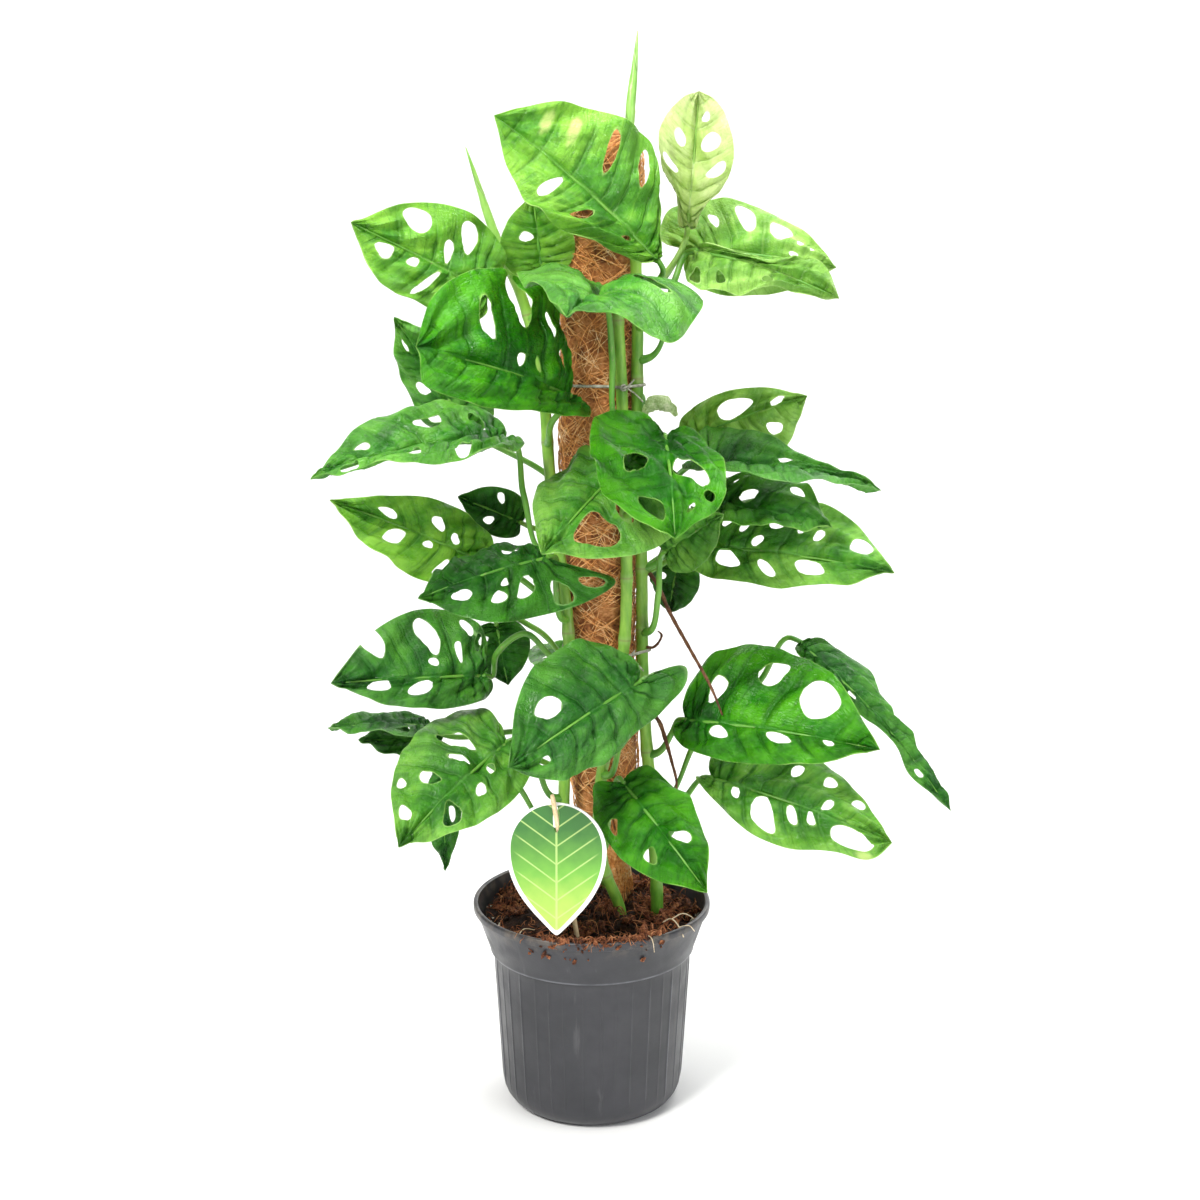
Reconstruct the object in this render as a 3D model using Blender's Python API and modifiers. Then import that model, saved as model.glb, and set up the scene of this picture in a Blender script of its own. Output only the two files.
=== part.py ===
"""Monstera adansonii climbing a coir pole, in its ribbed nursery pot.

Every size below is in millimetres and becomes metres where a mesh is made.
The origin is the middle of the pot's underside, +Z is up and -Y is the front.
"""
import math

import bmesh
import bpy
import numpy as np
from mathutils import Vector

MM = 0.001
GAP = 0.3                    # clearance between two pieces that touch

# Pot
POT_HEIGHT = 151.0
POT_RIM_RADIUS = 85.0
POT_NECK_RADIUS = 71.2       # under the collar
POT_NECK_HEIGHT = 115.0
POT_FOOT_RADIUS = 64.8       # where the side turns in to the foot
POT_FLOOR = 4.6              # top of the floor
POT_WALL = 2.0
FOOT_RING = (45.0, 53.0)     # inner and outer radius of the flat ring that stands on the table
FOOT_BOSS = 12.0             # radius of the flat boss in the middle of the underside
DRAIN_RADIUS = 5.0
DRAIN_CIRCLE = 30.0
DRAIN_COUNT = 6
TURN_STEPS = 36

# Soil
SOIL_EDGE_HEIGHT = 139.0
SOIL_TOP_HEIGHT = 145.0

# Pole: a round stake wrapped in coir
STAKE_RADIUS = 7.0
STAKE_ROUTE = [(23, 18, 14), (21.5, 16.5, 148), (11, 10, 222), (7, 8, 300), (5, 8, 480),
               (6, 8, 600), (8.5, 8, 650)]
COIR_ROUTE = [  # x, y, z, radius
    (11, 10, 219, 22.5), (9.5, 9.3, 240, 23.5), (7, 8, 300, 24.2), (6, 8, 400, 25.6), (5, 8, 480, 26.6),
    (6, 8, 600, 26.6), (8.5, 8, 650, 25.5), (10, 8, 676, 23.5), (10.5, 8, 687, 19.0)]

# Stems: each climbs one side of the pole; x, y, z, radius
STEMS = {
    "stem_right": [(47, -8, 112, 4.0), (47, -8, 143, 4.4), (45, -10, 190, 4.4), (41, -10, 244, 4.3),
                   (36.5, -6, 300, 4.2), (35.5, -4, 341, 4.2), (34.5, -6, 405, 4.1), (32, -9.5, 470, 4.0),
                   (31, -12, 521, 4.0), (31, -12.5, 566, 3.9), (28.5, -16, 630, 3.7), (25, -17.5, 690, 3.4)],
    "stem_front": [(23, -7, 112, 3.8), (21, -8, 143, 4.0), (10, -14, 175, 4.0), (6, -18, 200, 4.0),
                   (6, -20.5, 240, 4.0), (11, -21.8, 275, 4.0), (20, -20, 320, 4.0), (24, -17.8, 370, 4.0),
                   (24, -18.6, 405, 4.0), (22.5, -20, 470, 3.9), (20, -21, 530, 3.8), (17, -22, 590, 3.4)],
    "stem_left": [(-24, -12, 112, 4.0), (-22, -13, 143, 4.2), (-20, -16, 200, 4.2), (-19, -16, 245, 4.1),
                  (-17, -14.5, 300, 4.1), (-15, -16, 336, 4.1), (-21, -10.5, 400, 4.0), (-28, -3, 455, 4.0),
                  (-31, 1, 503, 3.9), (-37, 1, 545, 3.8), (-47, 0, 582, 3.6), (-60, 2, 611, 3.3)],
    "stem_back": [(12, 46, 112, 3.8), (11, 44, 143, 4.0), (10, 39, 222, 4.0), (7, 38, 300, 4.0),
                  (6, 39, 400, 4.0), (6, 40, 480, 3.9), (7, 40, 600, 3.6), (10, 38, 655, 3.2)],
}

STEM_RINGS = 15

# Ties around the pole and the stems that lie against it: height and the stems they hold
TIES = {"tie_upper": (523, ("stem_right", "stem_front", "stem_back")),
        "tie_lower": (337, ("stem_right", "stem_front", "stem_left", "stem_back"))}
TIE_RADIUS = 0.7

# Rolled new leaves at the growing tips; x, y, z, radius
NEW_LEAVES = {
    "new_leaf_top": [(25, -17.5, 690.7, 3.0), (26, -16, 705, 3.2), (28, -13, 725, 2.4),
                     (29.5, -10, 742, 1.2), (30.5, -8, 753, 0.35)],
    "new_leaf_left": [(-60.2, 1.9, 611.5, 2.8), (-66, 3, 627, 3.1), (-74, 4, 651, 2.1),
                      (-79, 4, 667, 1.2), (-83, 4, 679, 0.35)],
}

# Aerial roots, and the dried sheath of an old stalk; x, y, z, radius
AERIAL_ROOTS = {
    "aerial_root_long": [(40.2, -6.7, 392, 1.5), (44, -8, 387, 1.5), (53, -13, 368, 1.4), (68, -23, 342, 1.2),
                         (83, -33, 316, 1.0), (90, -37, 299, 0.6)],
    "aerial_root_low": [(42.4, -8.5, 292, 1.4), (46, -12, 289, 1.5), (52, -21, 275, 1.4), (56, -28, 262, 1.1),
                        (59, -31, 250, 0.9), (59, -30, 241, 0.5)],
    "aerial_root_curled": [(39, -7.2, 339.5, 1.0), (43, -13, 341, 1.0), (47, -16, 346, 0.9),
                           (48.5, -13, 350, 0.8), (46, -10.5, 352, 0.5)],
    "dry_sheath": [(35.6, -14.6, 502, 1.0), (38, -21, 508, 2.6), (44, -25, 513, 3.3), (51, -25, 511, 3.2),
                   (57, -23, 504, 1.4)],
}

# One half of a leaf, as fractions of its length and half width: parameter from stalk to tip,
# how far along the margin is, how far out, and where its side vein leaves the midrib
MARGIN = [
    (0.00, 0.000, 0.00, 0.000),
    (0.08, -0.050, 0.22, 0.012),
    (0.18, -0.028, 0.60, 0.035),
    (0.30, 0.110, 0.89, 0.090),
    (0.44, 0.320, 1.00, 0.210),
    (0.60, 0.560, 0.89, 0.410),
    (0.75, 0.765, 0.60, 0.630),
    (0.88, 0.912, 0.23, 0.840),
    (1.00, 1.000, 0.00, 1.000),
]

BLADE_THICKNESS = 1.1
STALK_RADIUS = 2.4           # at the stem
STALK_GAP = 0.45             # from the stem's bark
NECK_RADIUS = 1.8            # where the blade begins
MIDRIB_END_RADIUS = 0.9
BLADE_ROWS = 7
BLADE_COLUMNS = (0.0, 0.30, 0.74, 1.0)

# Leaves: base is where the stalk meets the blade, face is the azimuth and lift of the upper side
# in degrees (azimuth 0 looks to the front, + to the right), left and right are the half widths,
# arch the rise of the midrib over its chord, fold the lift of each half, curl its change outwards.
# Where given, (left, right): lobes is how much further the half reaches back past the stalk, basal and
# apical widen it near the stalk and near the tip, droop lowers it towards the tip. outline gives a half
# its own margin: how far along and how far out, at each row of MARGIN but the first and last.
# A hole is (side, place along, inner end, outer end, breadth), as fractions
LEAVES = {
    "leaf_crown_front": dict(
        base=(44, -48, 608), tip=(-60, -75, 700), face=(19, 21), left=33, right=58, arch=0.06,
        fold=(10, 12), curl=(0, -10),
        outline=([(0.03, 0.14), (0.09, 0.38), (0.23, 0.62), (0.41, 0.90),
                  (0.59, 1.16), (0.71, 1.06), (0.86, 0.60)],
                 [(0.03, 0.10), (0.11, 0.29), (0.23, 0.61), (0.35, 0.93),
                  (0.51, 0.91), (0.69, 0.75), (0.85, 0.46)]),
        stem="stem_right", node=562, via=[(42, -30, 590)],
        holes=[(1, 0.63, 0.27, 0.85, 0.04), (1, 0.48, 0.43, 0.88, 0.05), (-1, 0.73, 0.17, 0.75, 0.04),
               (-1, 0.58, 0.28, 0.62, 0.04), (-1, 0.41, 0.10, 0.33, 0.04), (1, 0.85, 0.24, 0.78, 0.03),
               (1, 0.77, 0.29, 0.79, 0.03)]),
    "leaf_crown_young": dict(
        base=(64, -8, 627), tip=(70, -26, 715), face=(0, 5), left=25, right=25, arch=0.05,
        fold=(8, 8), curl=(0, 0),
        outline=([(0.00, 0.22), (0.13, 0.28), (0.29, 0.44), (0.46, 0.76),
                  (0.63, 0.97), (0.80, 0.84), (0.95, 0.43)],
                 [(0.00, 0.22), (0.12, 0.30), (0.22, 0.49), (0.37, 0.86),
                  (0.57, 1.05), (0.78, 0.86), (0.94, 0.46)]),
        stem="stem_right", node=586, via=[(56, -7, 605)],
        holes=[(-1, 0.74, 0.28, 0.66, 0.07), (-1, 0.57, 0.42, 0.86, 0.07), (1, 0.85, 0.20, 0.60, 0.04),
               (1, 0.735, 0.16, 0.72, 0.08), (1, 0.58, 0.36, 0.82, 0.08)]),
    "leaf_crown_right_back": dict(
        base=(69, 2, 612), tip=(162, -22, 602), face=(10, 25), left=36, right=30, arch=0.06,
        fold=(6, 0), curl=(-10, -10),
        outline=([(-0.22, 0.10), (-0.29, 0.38), (-0.25, 0.92), (-0.03, 1.00),
                  (0.30, 1.05), (0.69, 0.64), (0.90, 0.24)], None),
        stem="stem_back", node=575, via=[(48, 26, 590)],
        holes=[(-1, 0.44, 0.45, 0.72, 0.05), (-1, 0.585, 0.40, 0.90, 0.07), (-1, 0.71, 0.38, 0.84, 0.07),
               (-1, 0.79, 0.50, 0.70, 0.03), (-1, 0.84, 0.55, 0.78, 0.02), (-1, 0.79, 0.06, 0.26, 0.04)]),
    "leaf_crown_right_front": dict(
        base=(70, -14, 613), tip=(160, -60, 585), face=(10, 35), left=18, right=32, arch=0.06,
        fold=(30, -8), curl=(-20, 0),
        outline=([(0.00, 0.15), (0.09, 0.24), (0.24, 0.26), (0.40, 0.24),
                  (0.57, 0.42), (0.71, 0.92), (0.86, 0.78)],
                 [(-0.02, 0.41), (0.04, 0.75), (0.16, 0.91), (0.29, 0.77),
                  (0.46, 0.70), (0.62, 0.34), (0.83, 0.22)]),
        stem="stem_right", node=540, via=[(55, -22, 593)],
        holes=[(1, 0.25, 0.50, 0.92, 0.12), (1, 0.44, 0.55, 0.80, 0.06), (1, 0.69, 0.33, 0.58, 0.05),
               (1, 0.75, 0.48, 0.70, 0.04)]),
    "leaf_crown_left": dict(
        base=(-69, -29, 586), tip=(-154, -52, 633), face=(-10, 25), left=29, right=40, arch=0.06,
        fold=(6, 6), curl=(0, 0), apical=(1.4, 1.0), stem="stem_left", node=550, via=[(-52, -4, 570)],
        holes=[(1, 0.69, 0.42, 0.92, 0.11), (-1, 0.80, 0.12, 0.66, 0.07), (-1, 0.68, 0.08, 0.34, 0.05),
               (-1, 0.56, 0.12, 0.85, 0.04), (1, 0.54, 0.10, 0.48, 0.05), (1, 0.44, 0.38, 0.90, 0.09)]),
    "leaf_crown_inner": dict(
        base=(-33, -10, 600), tip=(-38, -20, 650), face=(0, 30), left=26, right=24, arch=0.06,
        fold=(6, 6), curl=(0, 0), stem="stem_left", node=566, via=[(-34, -6, 592)],
        holes=[(-1, 0.62, 0.10, 0.55, 0.08)]),
    "leaf_upper_left": dict(
        base=(-14, -40, 520), tip=(-107, -128, 562), face=(-30, 20), left=38, right=70, arch=0.08,
        fold=(40, 0), curl=(-20, -14),
        outline=([(-0.20, 0.08), (-0.15, 0.30), (0.03, 0.48), (0.27, 0.60),
                  (0.58, 0.80), (0.84, 0.88), (0.98, 0.62)],
                 [(0.02, 0.31), (0.04, 0.65), (0.09, 0.88), (0.21, 1.02),
                  (0.44, 1.01), (0.73, 0.84), (0.93, 0.51)]),
        stem="stem_left", node=482, via=[(-26, -26, 500)],
        holes=[(1, 0.74, 0.25, 0.70, 0.05), (1, 0.58, 0.45, 0.95, 0.10), (1, 0.42, 0.45, 0.70, 0.04),
               (1, 0.60, 0.08, 0.20, 0.04), (1, 0.50, 0.08, 0.22, 0.03), (1, 0.26, 0.60, 0.80, 0.04),
               (1, 0.30, 0.25, 0.45, 0.04)]),
    "leaf_pole_front": dict(
        base=(10, -52, 581), tip=(-14, -156, 583), face=(0, 80), left=66, right=52, arch=0.05,
        fold=(66, 66), curl=(-68, -48), droop=(34, 20),
        outline=([(-0.14, 0.25), (-0.15, 0.48), (-0.10, 0.80), (0.25, 1.00),
                  (0.62, 0.95), (0.82, 0.66), (0.93, 0.30)],
                 [(-0.15, 0.35), (-0.20, 0.75), (-0.15, 0.95), (0.20, 1.05),
                  (0.50, 0.85), (0.72, 0.55), (0.88, 0.28)]),
        stem="stem_front", node=500, via=[(14, -33, 545)],
        holes=[(-1, 0.50, 0.40, 0.75, 0.06), (-1, 0.35, 0.15, 0.40, 0.05)]),
    "leaf_upper_left_back": dict(
        base=(-84, 25, 487), tip=(-133, 5, 567), face=(-20, 20), left=24, right=28, arch=0.05,
        fold=(0, 0), curl=(-10, -10), stem="stem_back", node=432, via=[(-40, 34, 460)],
        holes=[(-1, 0.83, 0.25, 0.60, 0.06), (-1, 0.60, 0.25, 0.65, 0.07), (-1, 0.40, 0.40, 0.80, 0.08)]),
    "leaf_mid_left_long": dict(
        base=(-58, -15, 487), tip=(-182, -75, 470), face=(0, 45), left=30, right=46, arch=0.08,
        fold=(50, 4), curl=(-20, -20), apical=(1.0, 0.8), stem="stem_left", node=404, via=[(-46, -12, 448)],
        holes=[(1, 0.53, 0.30, 0.62, 0.10), (1, 0.78, 0.35, 0.62, 0.04), (-1, 0.83, 0.50, 0.90, 0.05),
               (-1, 0.63, 0.50, 0.80, 0.04), (-1, 0.47, 0.40, 0.90, 0.06), (1, 0.32, 0.15, 0.55, 0.06)]),
    "leaf_mid_left_low": dict(
        base=(-77, 0, 400), tip=(-176, -30, 448), face=(-10, 30), left=30, right=27, arch=0.05,
        fold=(5, 5), curl=(0, 0), apical=(1.0, 0.75), stem="stem_left", node=372, via=[(-50, -4, 388)],
        holes=[(1, 0.74, 0.18, 0.62, 0.07), (-1, 0.69, 0.10, 0.62, 0.07), (1, 0.51, 0.25, 0.62, 0.06),
               (1, 0.42, 0.08, 0.36, 0.05), (-1, 0.55, 0.06, 0.24, 0.05), (-1, 0.42, 0.30, 0.75, 0.05),
               (-1, 0.34, 0.35, 0.60, 0.04)]),
    "leaf_mid_left_small": dict(
        base=(-50, 28, 421), tip=(-93, 20, 441), face=(-10, 20), left=16, right=18, arch=0.05,
        fold=(5, 5), curl=(0, 0), stem="stem_back", node=388, via=[(-22, 38, 408)],
        holes=[(1, 0.55, 0.40, 0.80, 0.08), (-1, 0.60, 0.30, 0.70, 0.10)]),
    "leaf_mid_left_shade": dict(
        base=(-29, -40, 411), tip=(-113, -85, 393), face=(0, 35), left=37, right=34, arch=0.06,
        fold=(-10, -20), curl=(-10, -20), lobes=(0.5, 0), basal=(1.35, 1.0), stem="stem_left", node=362,
        via=[(-24, -30, 396)],
        holes=[(-1, 0.78, 0.30, 0.62, 0.09), (-1, 0.60, 0.42, 0.68, 0.07), (-1, 0.57, 0.22, 0.36, 0.05),
               (-1, 0.45, 0.25, 0.62, 0.10), (-1, 0.30, 0.45, 0.90, 0.07), (-1, 0.20, 0.62, 0.90, 0.05),
               (1, 0.40, 0.30, 0.60, 0.08)]),
    "leaf_low_left_split": dict(
        base=(-75, 0, 317), tip=(-177, -45, 324), face=(-5, 25), left=23, right=48, arch=0.05,
        fold=(4, 4), curl=(0, 0), stem="stem_left", node=330, via=[(-46, -10, 350), (-66, -4, 334)],
        holes=[(1, 0.52, 0.32, 0.86, 0.09), (1, 0.54, 0.16, 0.28, 0.05), (1, 0.30, 0.66, 0.90, 0.07),
               (1, 0.22, 0.50, 0.85, 0.06), (-1, 0.78, 0.08, 0.66, 0.09), (-1, 0.60, 0.08, 0.60, 0.10),
               (1, 0.74, 0.50, 1.30, 0.08), (1, 0.38, 0.20, 0.50, 0.05)]),
    "leaf_low_left_dark": dict(
        base=(-68, 34, 345), tip=(-60, 28, 302), face=(-10, 10), left=22, right=22, arch=0.05,
        fold=(0, 0), curl=(-10, -10), stem="stem_back", node=300, via=[(-40, 42, 340)],
        holes=[(1, 0.40, 0.30, 0.70, 0.10)]),
    "leaf_low_left_edge": dict(
        base=(-115, 10, 278), tip=(-182, -30, 288), face=(0, 78), left=19, right=19, arch=0.04,
        fold=(0, 0), curl=(0, 0), stem="stem_back", node=240, via=[(-40, 34, 264)],
        holes=[(-1, 0.50, 0.40, 0.80, 0.10)]),
    "leaf_low_left_small": dict(
        base=(-109, 20, 262), tip=(-165, 0, 270), face=(0, 50), left=16, right=16, arch=0.04,
        fold=(0, 0), curl=(0, 0), stem="stem_back", node=222, via=[(-40, 36, 244)],
        holes=[(1, 0.45, 0.30, 0.75, 0.16)]),
    "leaf_low_left": dict(
        base=(-58, -30, 278), tip=(-127, -110, 230), face=(-10, 35), left=34, right=50, arch=0.06,
        fold=(0, 4), curl=(-10, -10), lobes=(0, 0.1), basal=(1.0, 1.35),
        stem="stem_left", node=232, via=[(-40, -24, 262)],
        holes=[(1, 0.42, 0.18, 0.74, 0.08), (1, 0.53, 0.08, 0.40, 0.04), (1, 0.67, 0.24, 0.60, 0.06),
               (1, 0.70, 0.78, 0.92, 0.05), (1, 0.84, 0.45, 0.85, 0.06), (-1, 0.73, 0.22, 0.84, 0.08),
               (-1, 0.57, 0.32, 0.58, 0.05), (-1, 0.47, 0.14, 0.34, 0.05)]),
    "leaf_low_front": dict(
        base=(33, -60, 330), tip=(-53, -125, 290), face=(-5, 20), left=27, right=50, arch=0.06,
        fold=(0, 0), curl=(-20, -10),
        outline=([(-0.22, 0.02), (-0.34, 0.36), (-0.16, 0.92), (0.26, 1.20),
                  (0.54, 1.24), (0.74, 1.04), (0.90, 0.60)],
                 None),
        stem="stem_front", node=252,
        via=[(20, -38, 280), (31, -48, 308)],
        holes=[(1, 0.70, 0.30, 0.68, 0.11), (-1, 0.84, 0.35, 0.60, 0.04)]),
    "leaf_low_right_front": dict(
        base=(22, -47, 254), tip=(77, -112, 199), face=(8, 16), left=30, right=34, arch=0.06,
        fold=(0, 0), curl=(-15, -10), lobes=(0, 0.1), stem="stem_front", node=198, via=[(12, -34, 226)],
        holes=[(-1, 0.70, 0.08, 0.62, 0.06), (1, 0.67, 0.42, 0.76, 0.06), (1, 0.41, 0.55, 0.82, 0.06)]),
    "leaf_mid_front_round": dict(
        base=(49, -55, 495), tip=(53, -135, 443), face=(5, 32), left=37, right=50, arch=0.07,
        fold=(0, 0), curl=(-10, 10), lobes=(0.1, 0), apical=(1.2, 1),
        outline=(None, [(-0.25, 0.14), (-0.33, 0.52), (-0.12, 0.93), (0.30, 1.03),
                        (0.56, 1.00), (0.76, 0.80), (0.91, 0.30)]),
        stem="stem_right", node=468, via=[(42, -34, 492)],
        holes=[(1, 0.54, 0.28, 0.62, 0.12), (-1, 0.57, 0.05, 0.68, 0.16), (-1, 0.68, 0.66, 0.86, 0.07),
               (1, 0.82, 0.22, 0.66, 0.11), (-1, 0.80, 0.45, 0.62, 0.05)]),
    "leaf_mid_front_left": dict(
        base=(32, -45, 483), tip=(-31, -120, 430), face=(-10, 25), left=56, right=42, arch=0.06,
        fold=(0, -8), curl=(-10, -20), apical=(1.1, 1.15),
        stem="stem_front", node=436, via=[(28, -34, 462)],
        holes=[(-1, 0.76, 0.14, 0.80, 0.15), (-1, 0.62, 0.32, 0.62, 0.05)]),
    "leaf_mid_front_small": dict(
        base=(50, -28, 412), tip=(88, -50, 442), face=(0, 20), left=20, right=22, arch=0.05,
        fold=(4, 4), curl=(0, 0), stem="stem_right", node=350, via=[(46, -18, 380)],
        holes=[(-1, 0.50, 0.30, 0.65, 0.10)]),
    "leaf_mid_right_top": dict(
        base=(68, 23, 482), tip=(147, 0, 514), face=(10, 20), left=21, right=31, arch=0.05,
        fold=(5, -35), curl=(0, 0), apical=(1.0, 1.5), stem="stem_back", node=444, via=[(40, 26, 466)],
        holes=[(-1, 0.58, 0.05, 0.76, 0.18), (-1, 0.82, 0.05, 0.70, 0.06), (1, 0.74, 0.36, 0.70, 0.08)]),
    "leaf_mid_right_flat": dict(
        base=(74, -8, 470), tip=(191, -60, 460), face=(5, 38), left=31, right=30, arch=0.06,
        fold=(4, 55), curl=(-10, -10),
        outline=([(-0.08, 0.52), (-0.06, 1.00), (0.06, 1.08), (0.27, 0.91),
                  (0.53, 0.50), (0.73, 0.28), (0.88, 0.20)],
                 None),
        stem="stem_right", node=432, via=[(54, -10, 456)],
        holes=[(-1, 0.62, 0.30, 0.62, 0.05)]),
    "leaf_mid_right_bright": dict(
        base=(78, -5, 440), tip=(160, -55, 434), face=(5, 40), left=38, right=20, arch=0.06,
        fold=(0, 30), curl=(-10, -10), stem="stem_right", node=396, via=[(56, -8, 424)],
        holes=[(-1, 0.35, 0.55, 0.85, 0.07), (-1, 0.52, 0.08, 0.42, 0.10), (-1, 0.70, 0.66, 0.84, 0.09)]),
    "leaf_mid_right_long": dict(
        base=(75, 5, 409), tip=(203, -50, 402), face=(8, 35), left=40, right=26, arch=0.05,
        fold=(4, -4), curl=(0, 0), apical=(1.25, 1.0), stem="stem_back", node=366, via=[(44, 26, 388)],
        holes=[(-1, 0.32, 0.42, 0.60, 0.05), (-1, 0.42, 0.30, 0.55, 0.04), (-1, 0.55, 0.40, 0.76, 0.08),
               (-1, 0.64, 0.40, 0.60, 0.03), (-1, 0.70, 0.36, 0.56, 0.03), (-1, 0.83, 0.45, 0.92, 0.07),
               (1, 0.38, 0.05, 0.60, 0.11), (-1, 0.51, 0.06, 0.26, 0.04), (1, 0.70, 0.08, 0.75, 0.09),
               (1, 0.54, 0.30, 0.70, 0.05)]),
    "leaf_mid_right_back": dict(
        base=(62, 52, 388), tip=(56, 66, 345), face=(-20, 0), left=19, right=19, arch=0.05,
        fold=(0, 0), curl=(-10, -10), stem="stem_back", node=345, via=[(40, 48, 385)],
        holes=[(1, 0.50, 0.30, 0.70, 0.10)]),
    "leaf_low_right": dict(
        base=(65, -20, 291), tip=(193, -80, 288), face=(5, 30), left=64, right=26, arch=0.06,
        fold=(0, -4), curl=(-12, 0), basal=(1.15, 1.0), stem="stem_right", node=262, via=[(56, -17, 280)],
        holes=[(-1, 0.34, 0.20, 0.55, 0.08), (-1, 0.53, 0.50, 0.84, 0.10), (-1, 0.73, 0.32, 0.88, 0.13),
               (1, 0.42, 0.08, 0.42, 0.09), (1, 0.66, 0.05, 0.42, 0.08), (1, 0.82, 0.06, 0.40, 0.03)]),
    "leaf_low_right_folded": dict(
        base=(147, 10, 339), tip=(249, -40, 231), face=(35, 30), left=26, right=14, arch=0.06,
        fold=(-10, -10), curl=(-10, -10),
        outline=([(0.03, 0.56), (0.09, 1.20), (0.22, 1.30), (0.40, 1.00),
                  (0.55, 0.62), (0.69, 0.48), (0.84, 0.45)],
                 [(0.00, 0.40), (0.07, 0.70), (0.16, 0.62), (0.29, 0.70),
                  (0.46, 0.60), (0.64, 0.32), (0.80, 0.70)]),
        stem="stem_right", node=222, via=[(76, 6, 270), (120, 14, 310)],
        holes=[(1, 0.53, 0.20, 0.60, 0.04), (1, 0.85, 0.20, 0.60, 0.03)]),
    "leaf_low_right_under": dict(
        base=(85, 0, 242), tip=(206, -60, 215), face=(5, 35), left=40, right=34, arch=0.06,
        fold=(-2, -2), curl=(-10, -10),
        outline=(None,
                 [(-0.07, 0.08), (-0.02, 0.27), (0.14, 0.61), (0.32, 0.88),
                  (0.55, 0.91), (0.76, 0.64), (0.94, 0.48)]),
        stem="stem_right", node=198, via=[(66, -6, 228)],
        holes=[(1, 0.52, 0.06, 0.80, 0.10), (1, 0.64, 0.06, 0.50, 0.04), (1, 0.71, 0.06, 0.45, 0.03),
               (-1, 0.74, 0.10, 0.42, 0.03), (1, 0.84, 0.06, 0.86, 0.13), (-1, 0.55, 0.52, 0.72, 0.04),
               (-1, 0.45, 0.54, 0.78, 0.05), (1, 0.38, 0.05, 0.35, 0.05), (-1, 0.66, 0.66, 0.86, 0.04),
               (-1, 0.78, 0.70, 0.94, 0.04)]),
    "leaf_low_left_hanging": dict(
        base=(-104, 0, 252), tip=(-103, -25, 181), face=(-10, 5), left=13, right=13, arch=0.04,
        fold=(0, 0), curl=(-10, -10), stem="stem_left", node=206, via=[(-56, -12, 244)],
        holes=[(1, 0.45, 0.30, 0.75, 0.12), (-1, 0.60, 0.30, 0.70, 0.10)]),
    "leaf_back_top": dict(
        base=(10, 62, 655), tip=(18, 128, 612), face=(180, 45), left=26, right=26, arch=0.06,
        fold=(4, 4), curl=(-10, -10), stem="stem_back", node=610, via=[(9, 52, 640)],
        holes=[(1, 0.45, 0.25, 0.75, 0.12), (-1, 0.60, 0.25, 0.75, 0.12)]),
    "leaf_back_mid": dict(
        base=(8, 76, 506), tip=(20, 172, 444), face=(180, 45), left=30, right=30, arch=0.07,
        fold=(4, 4), curl=(-10, -10), stem="stem_back", node=462, via=[(6, 58, 488)],
        holes=[(1, 0.40, 0.25, 0.75, 0.10), (1, 0.64, 0.25, 0.75, 0.10), (-1, 0.52, 0.25, 0.80, 0.12)]),
    "leaf_back_low": dict(
        base=(-4, 74, 322), tip=(-22, 168, 266), face=(190, 45), left=38, right=38, arch=0.07,
        fold=(4, 4), curl=(-10, -10), stem="stem_back", node=272, via=[(0, 56, 304)],
        holes=[(1, 0.50, 0.25, 0.80, 0.12), (-1, 0.36, 0.25, 0.75, 0.10), (-1, 0.64, 0.25, 0.75, 0.10)]),
}


def smooth(table, q):
    """Values at q on a smooth curve through the rows of a table whose first column is q."""
    rows = np.array(table, float)
    knots, values = rows[:, 0], rows[:, 1:]
    slopes = np.gradient(values, knots, axis=0)
    q = np.asarray(q, float)
    i = np.clip(np.searchsorted(knots, q, side="right") - 1, 0, len(knots) - 2)
    step = (knots[i + 1] - knots[i])[..., None]
    t = (q[..., None] - knots[i][..., None]) / step
    return ((2 * t**3 - 3 * t**2 + 1) * values[i] + (t**3 - 2 * t**2 + t) * step * slopes[i]
            + (3 * t**2 - 2 * t**3) * values[i + 1] + (t**3 - t**2) * step * slopes[i + 1])


def smooth_route(points, count):
    """count points spread evenly along a smooth curve through the given points."""
    rows = np.array(points, float)
    lengths = np.linalg.norm(np.diff(rows[:, :3], axis=0), axis=1)
    knots = np.concatenate([[0], np.cumsum(lengths)])
    return smooth(np.column_stack([knots, rows]), np.linspace(0, knots[-1], count))


def ease(t):
    t = np.clip(t, 0, 1)
    return t * t * (3 - 2 * t)


def unit(vector):
    return vector / np.linalg.norm(vector)


def leaf_frame(leaf):
    """Base, direction of the tip, upper side, right-hand side and length of a leaf."""
    base = np.array(leaf["base"], float)
    chord = np.array(leaf["tip"], float) - base
    length = np.linalg.norm(chord)
    along = chord / length
    turn, lift = np.radians(leaf["face"])
    face = np.array([math.sin(turn) * math.cos(lift), -math.cos(turn) * math.cos(lift), math.sin(lift)])
    face = unit(face - along * face.dot(along))
    return base, along, face, np.cross(along, face), length


def margin_rows(leaf, side):
    """The margin of a half, side 0 for the left one: the leaf's own outline, or the usual one."""
    own = leaf.get("outline", (None, None))[side]
    if own is None:
        return MARGIN
    return [(row[0], *pair, row[3]) for row, pair in zip(MARGIN, [(0, 0)] + own + [(1, 0)])]


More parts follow.
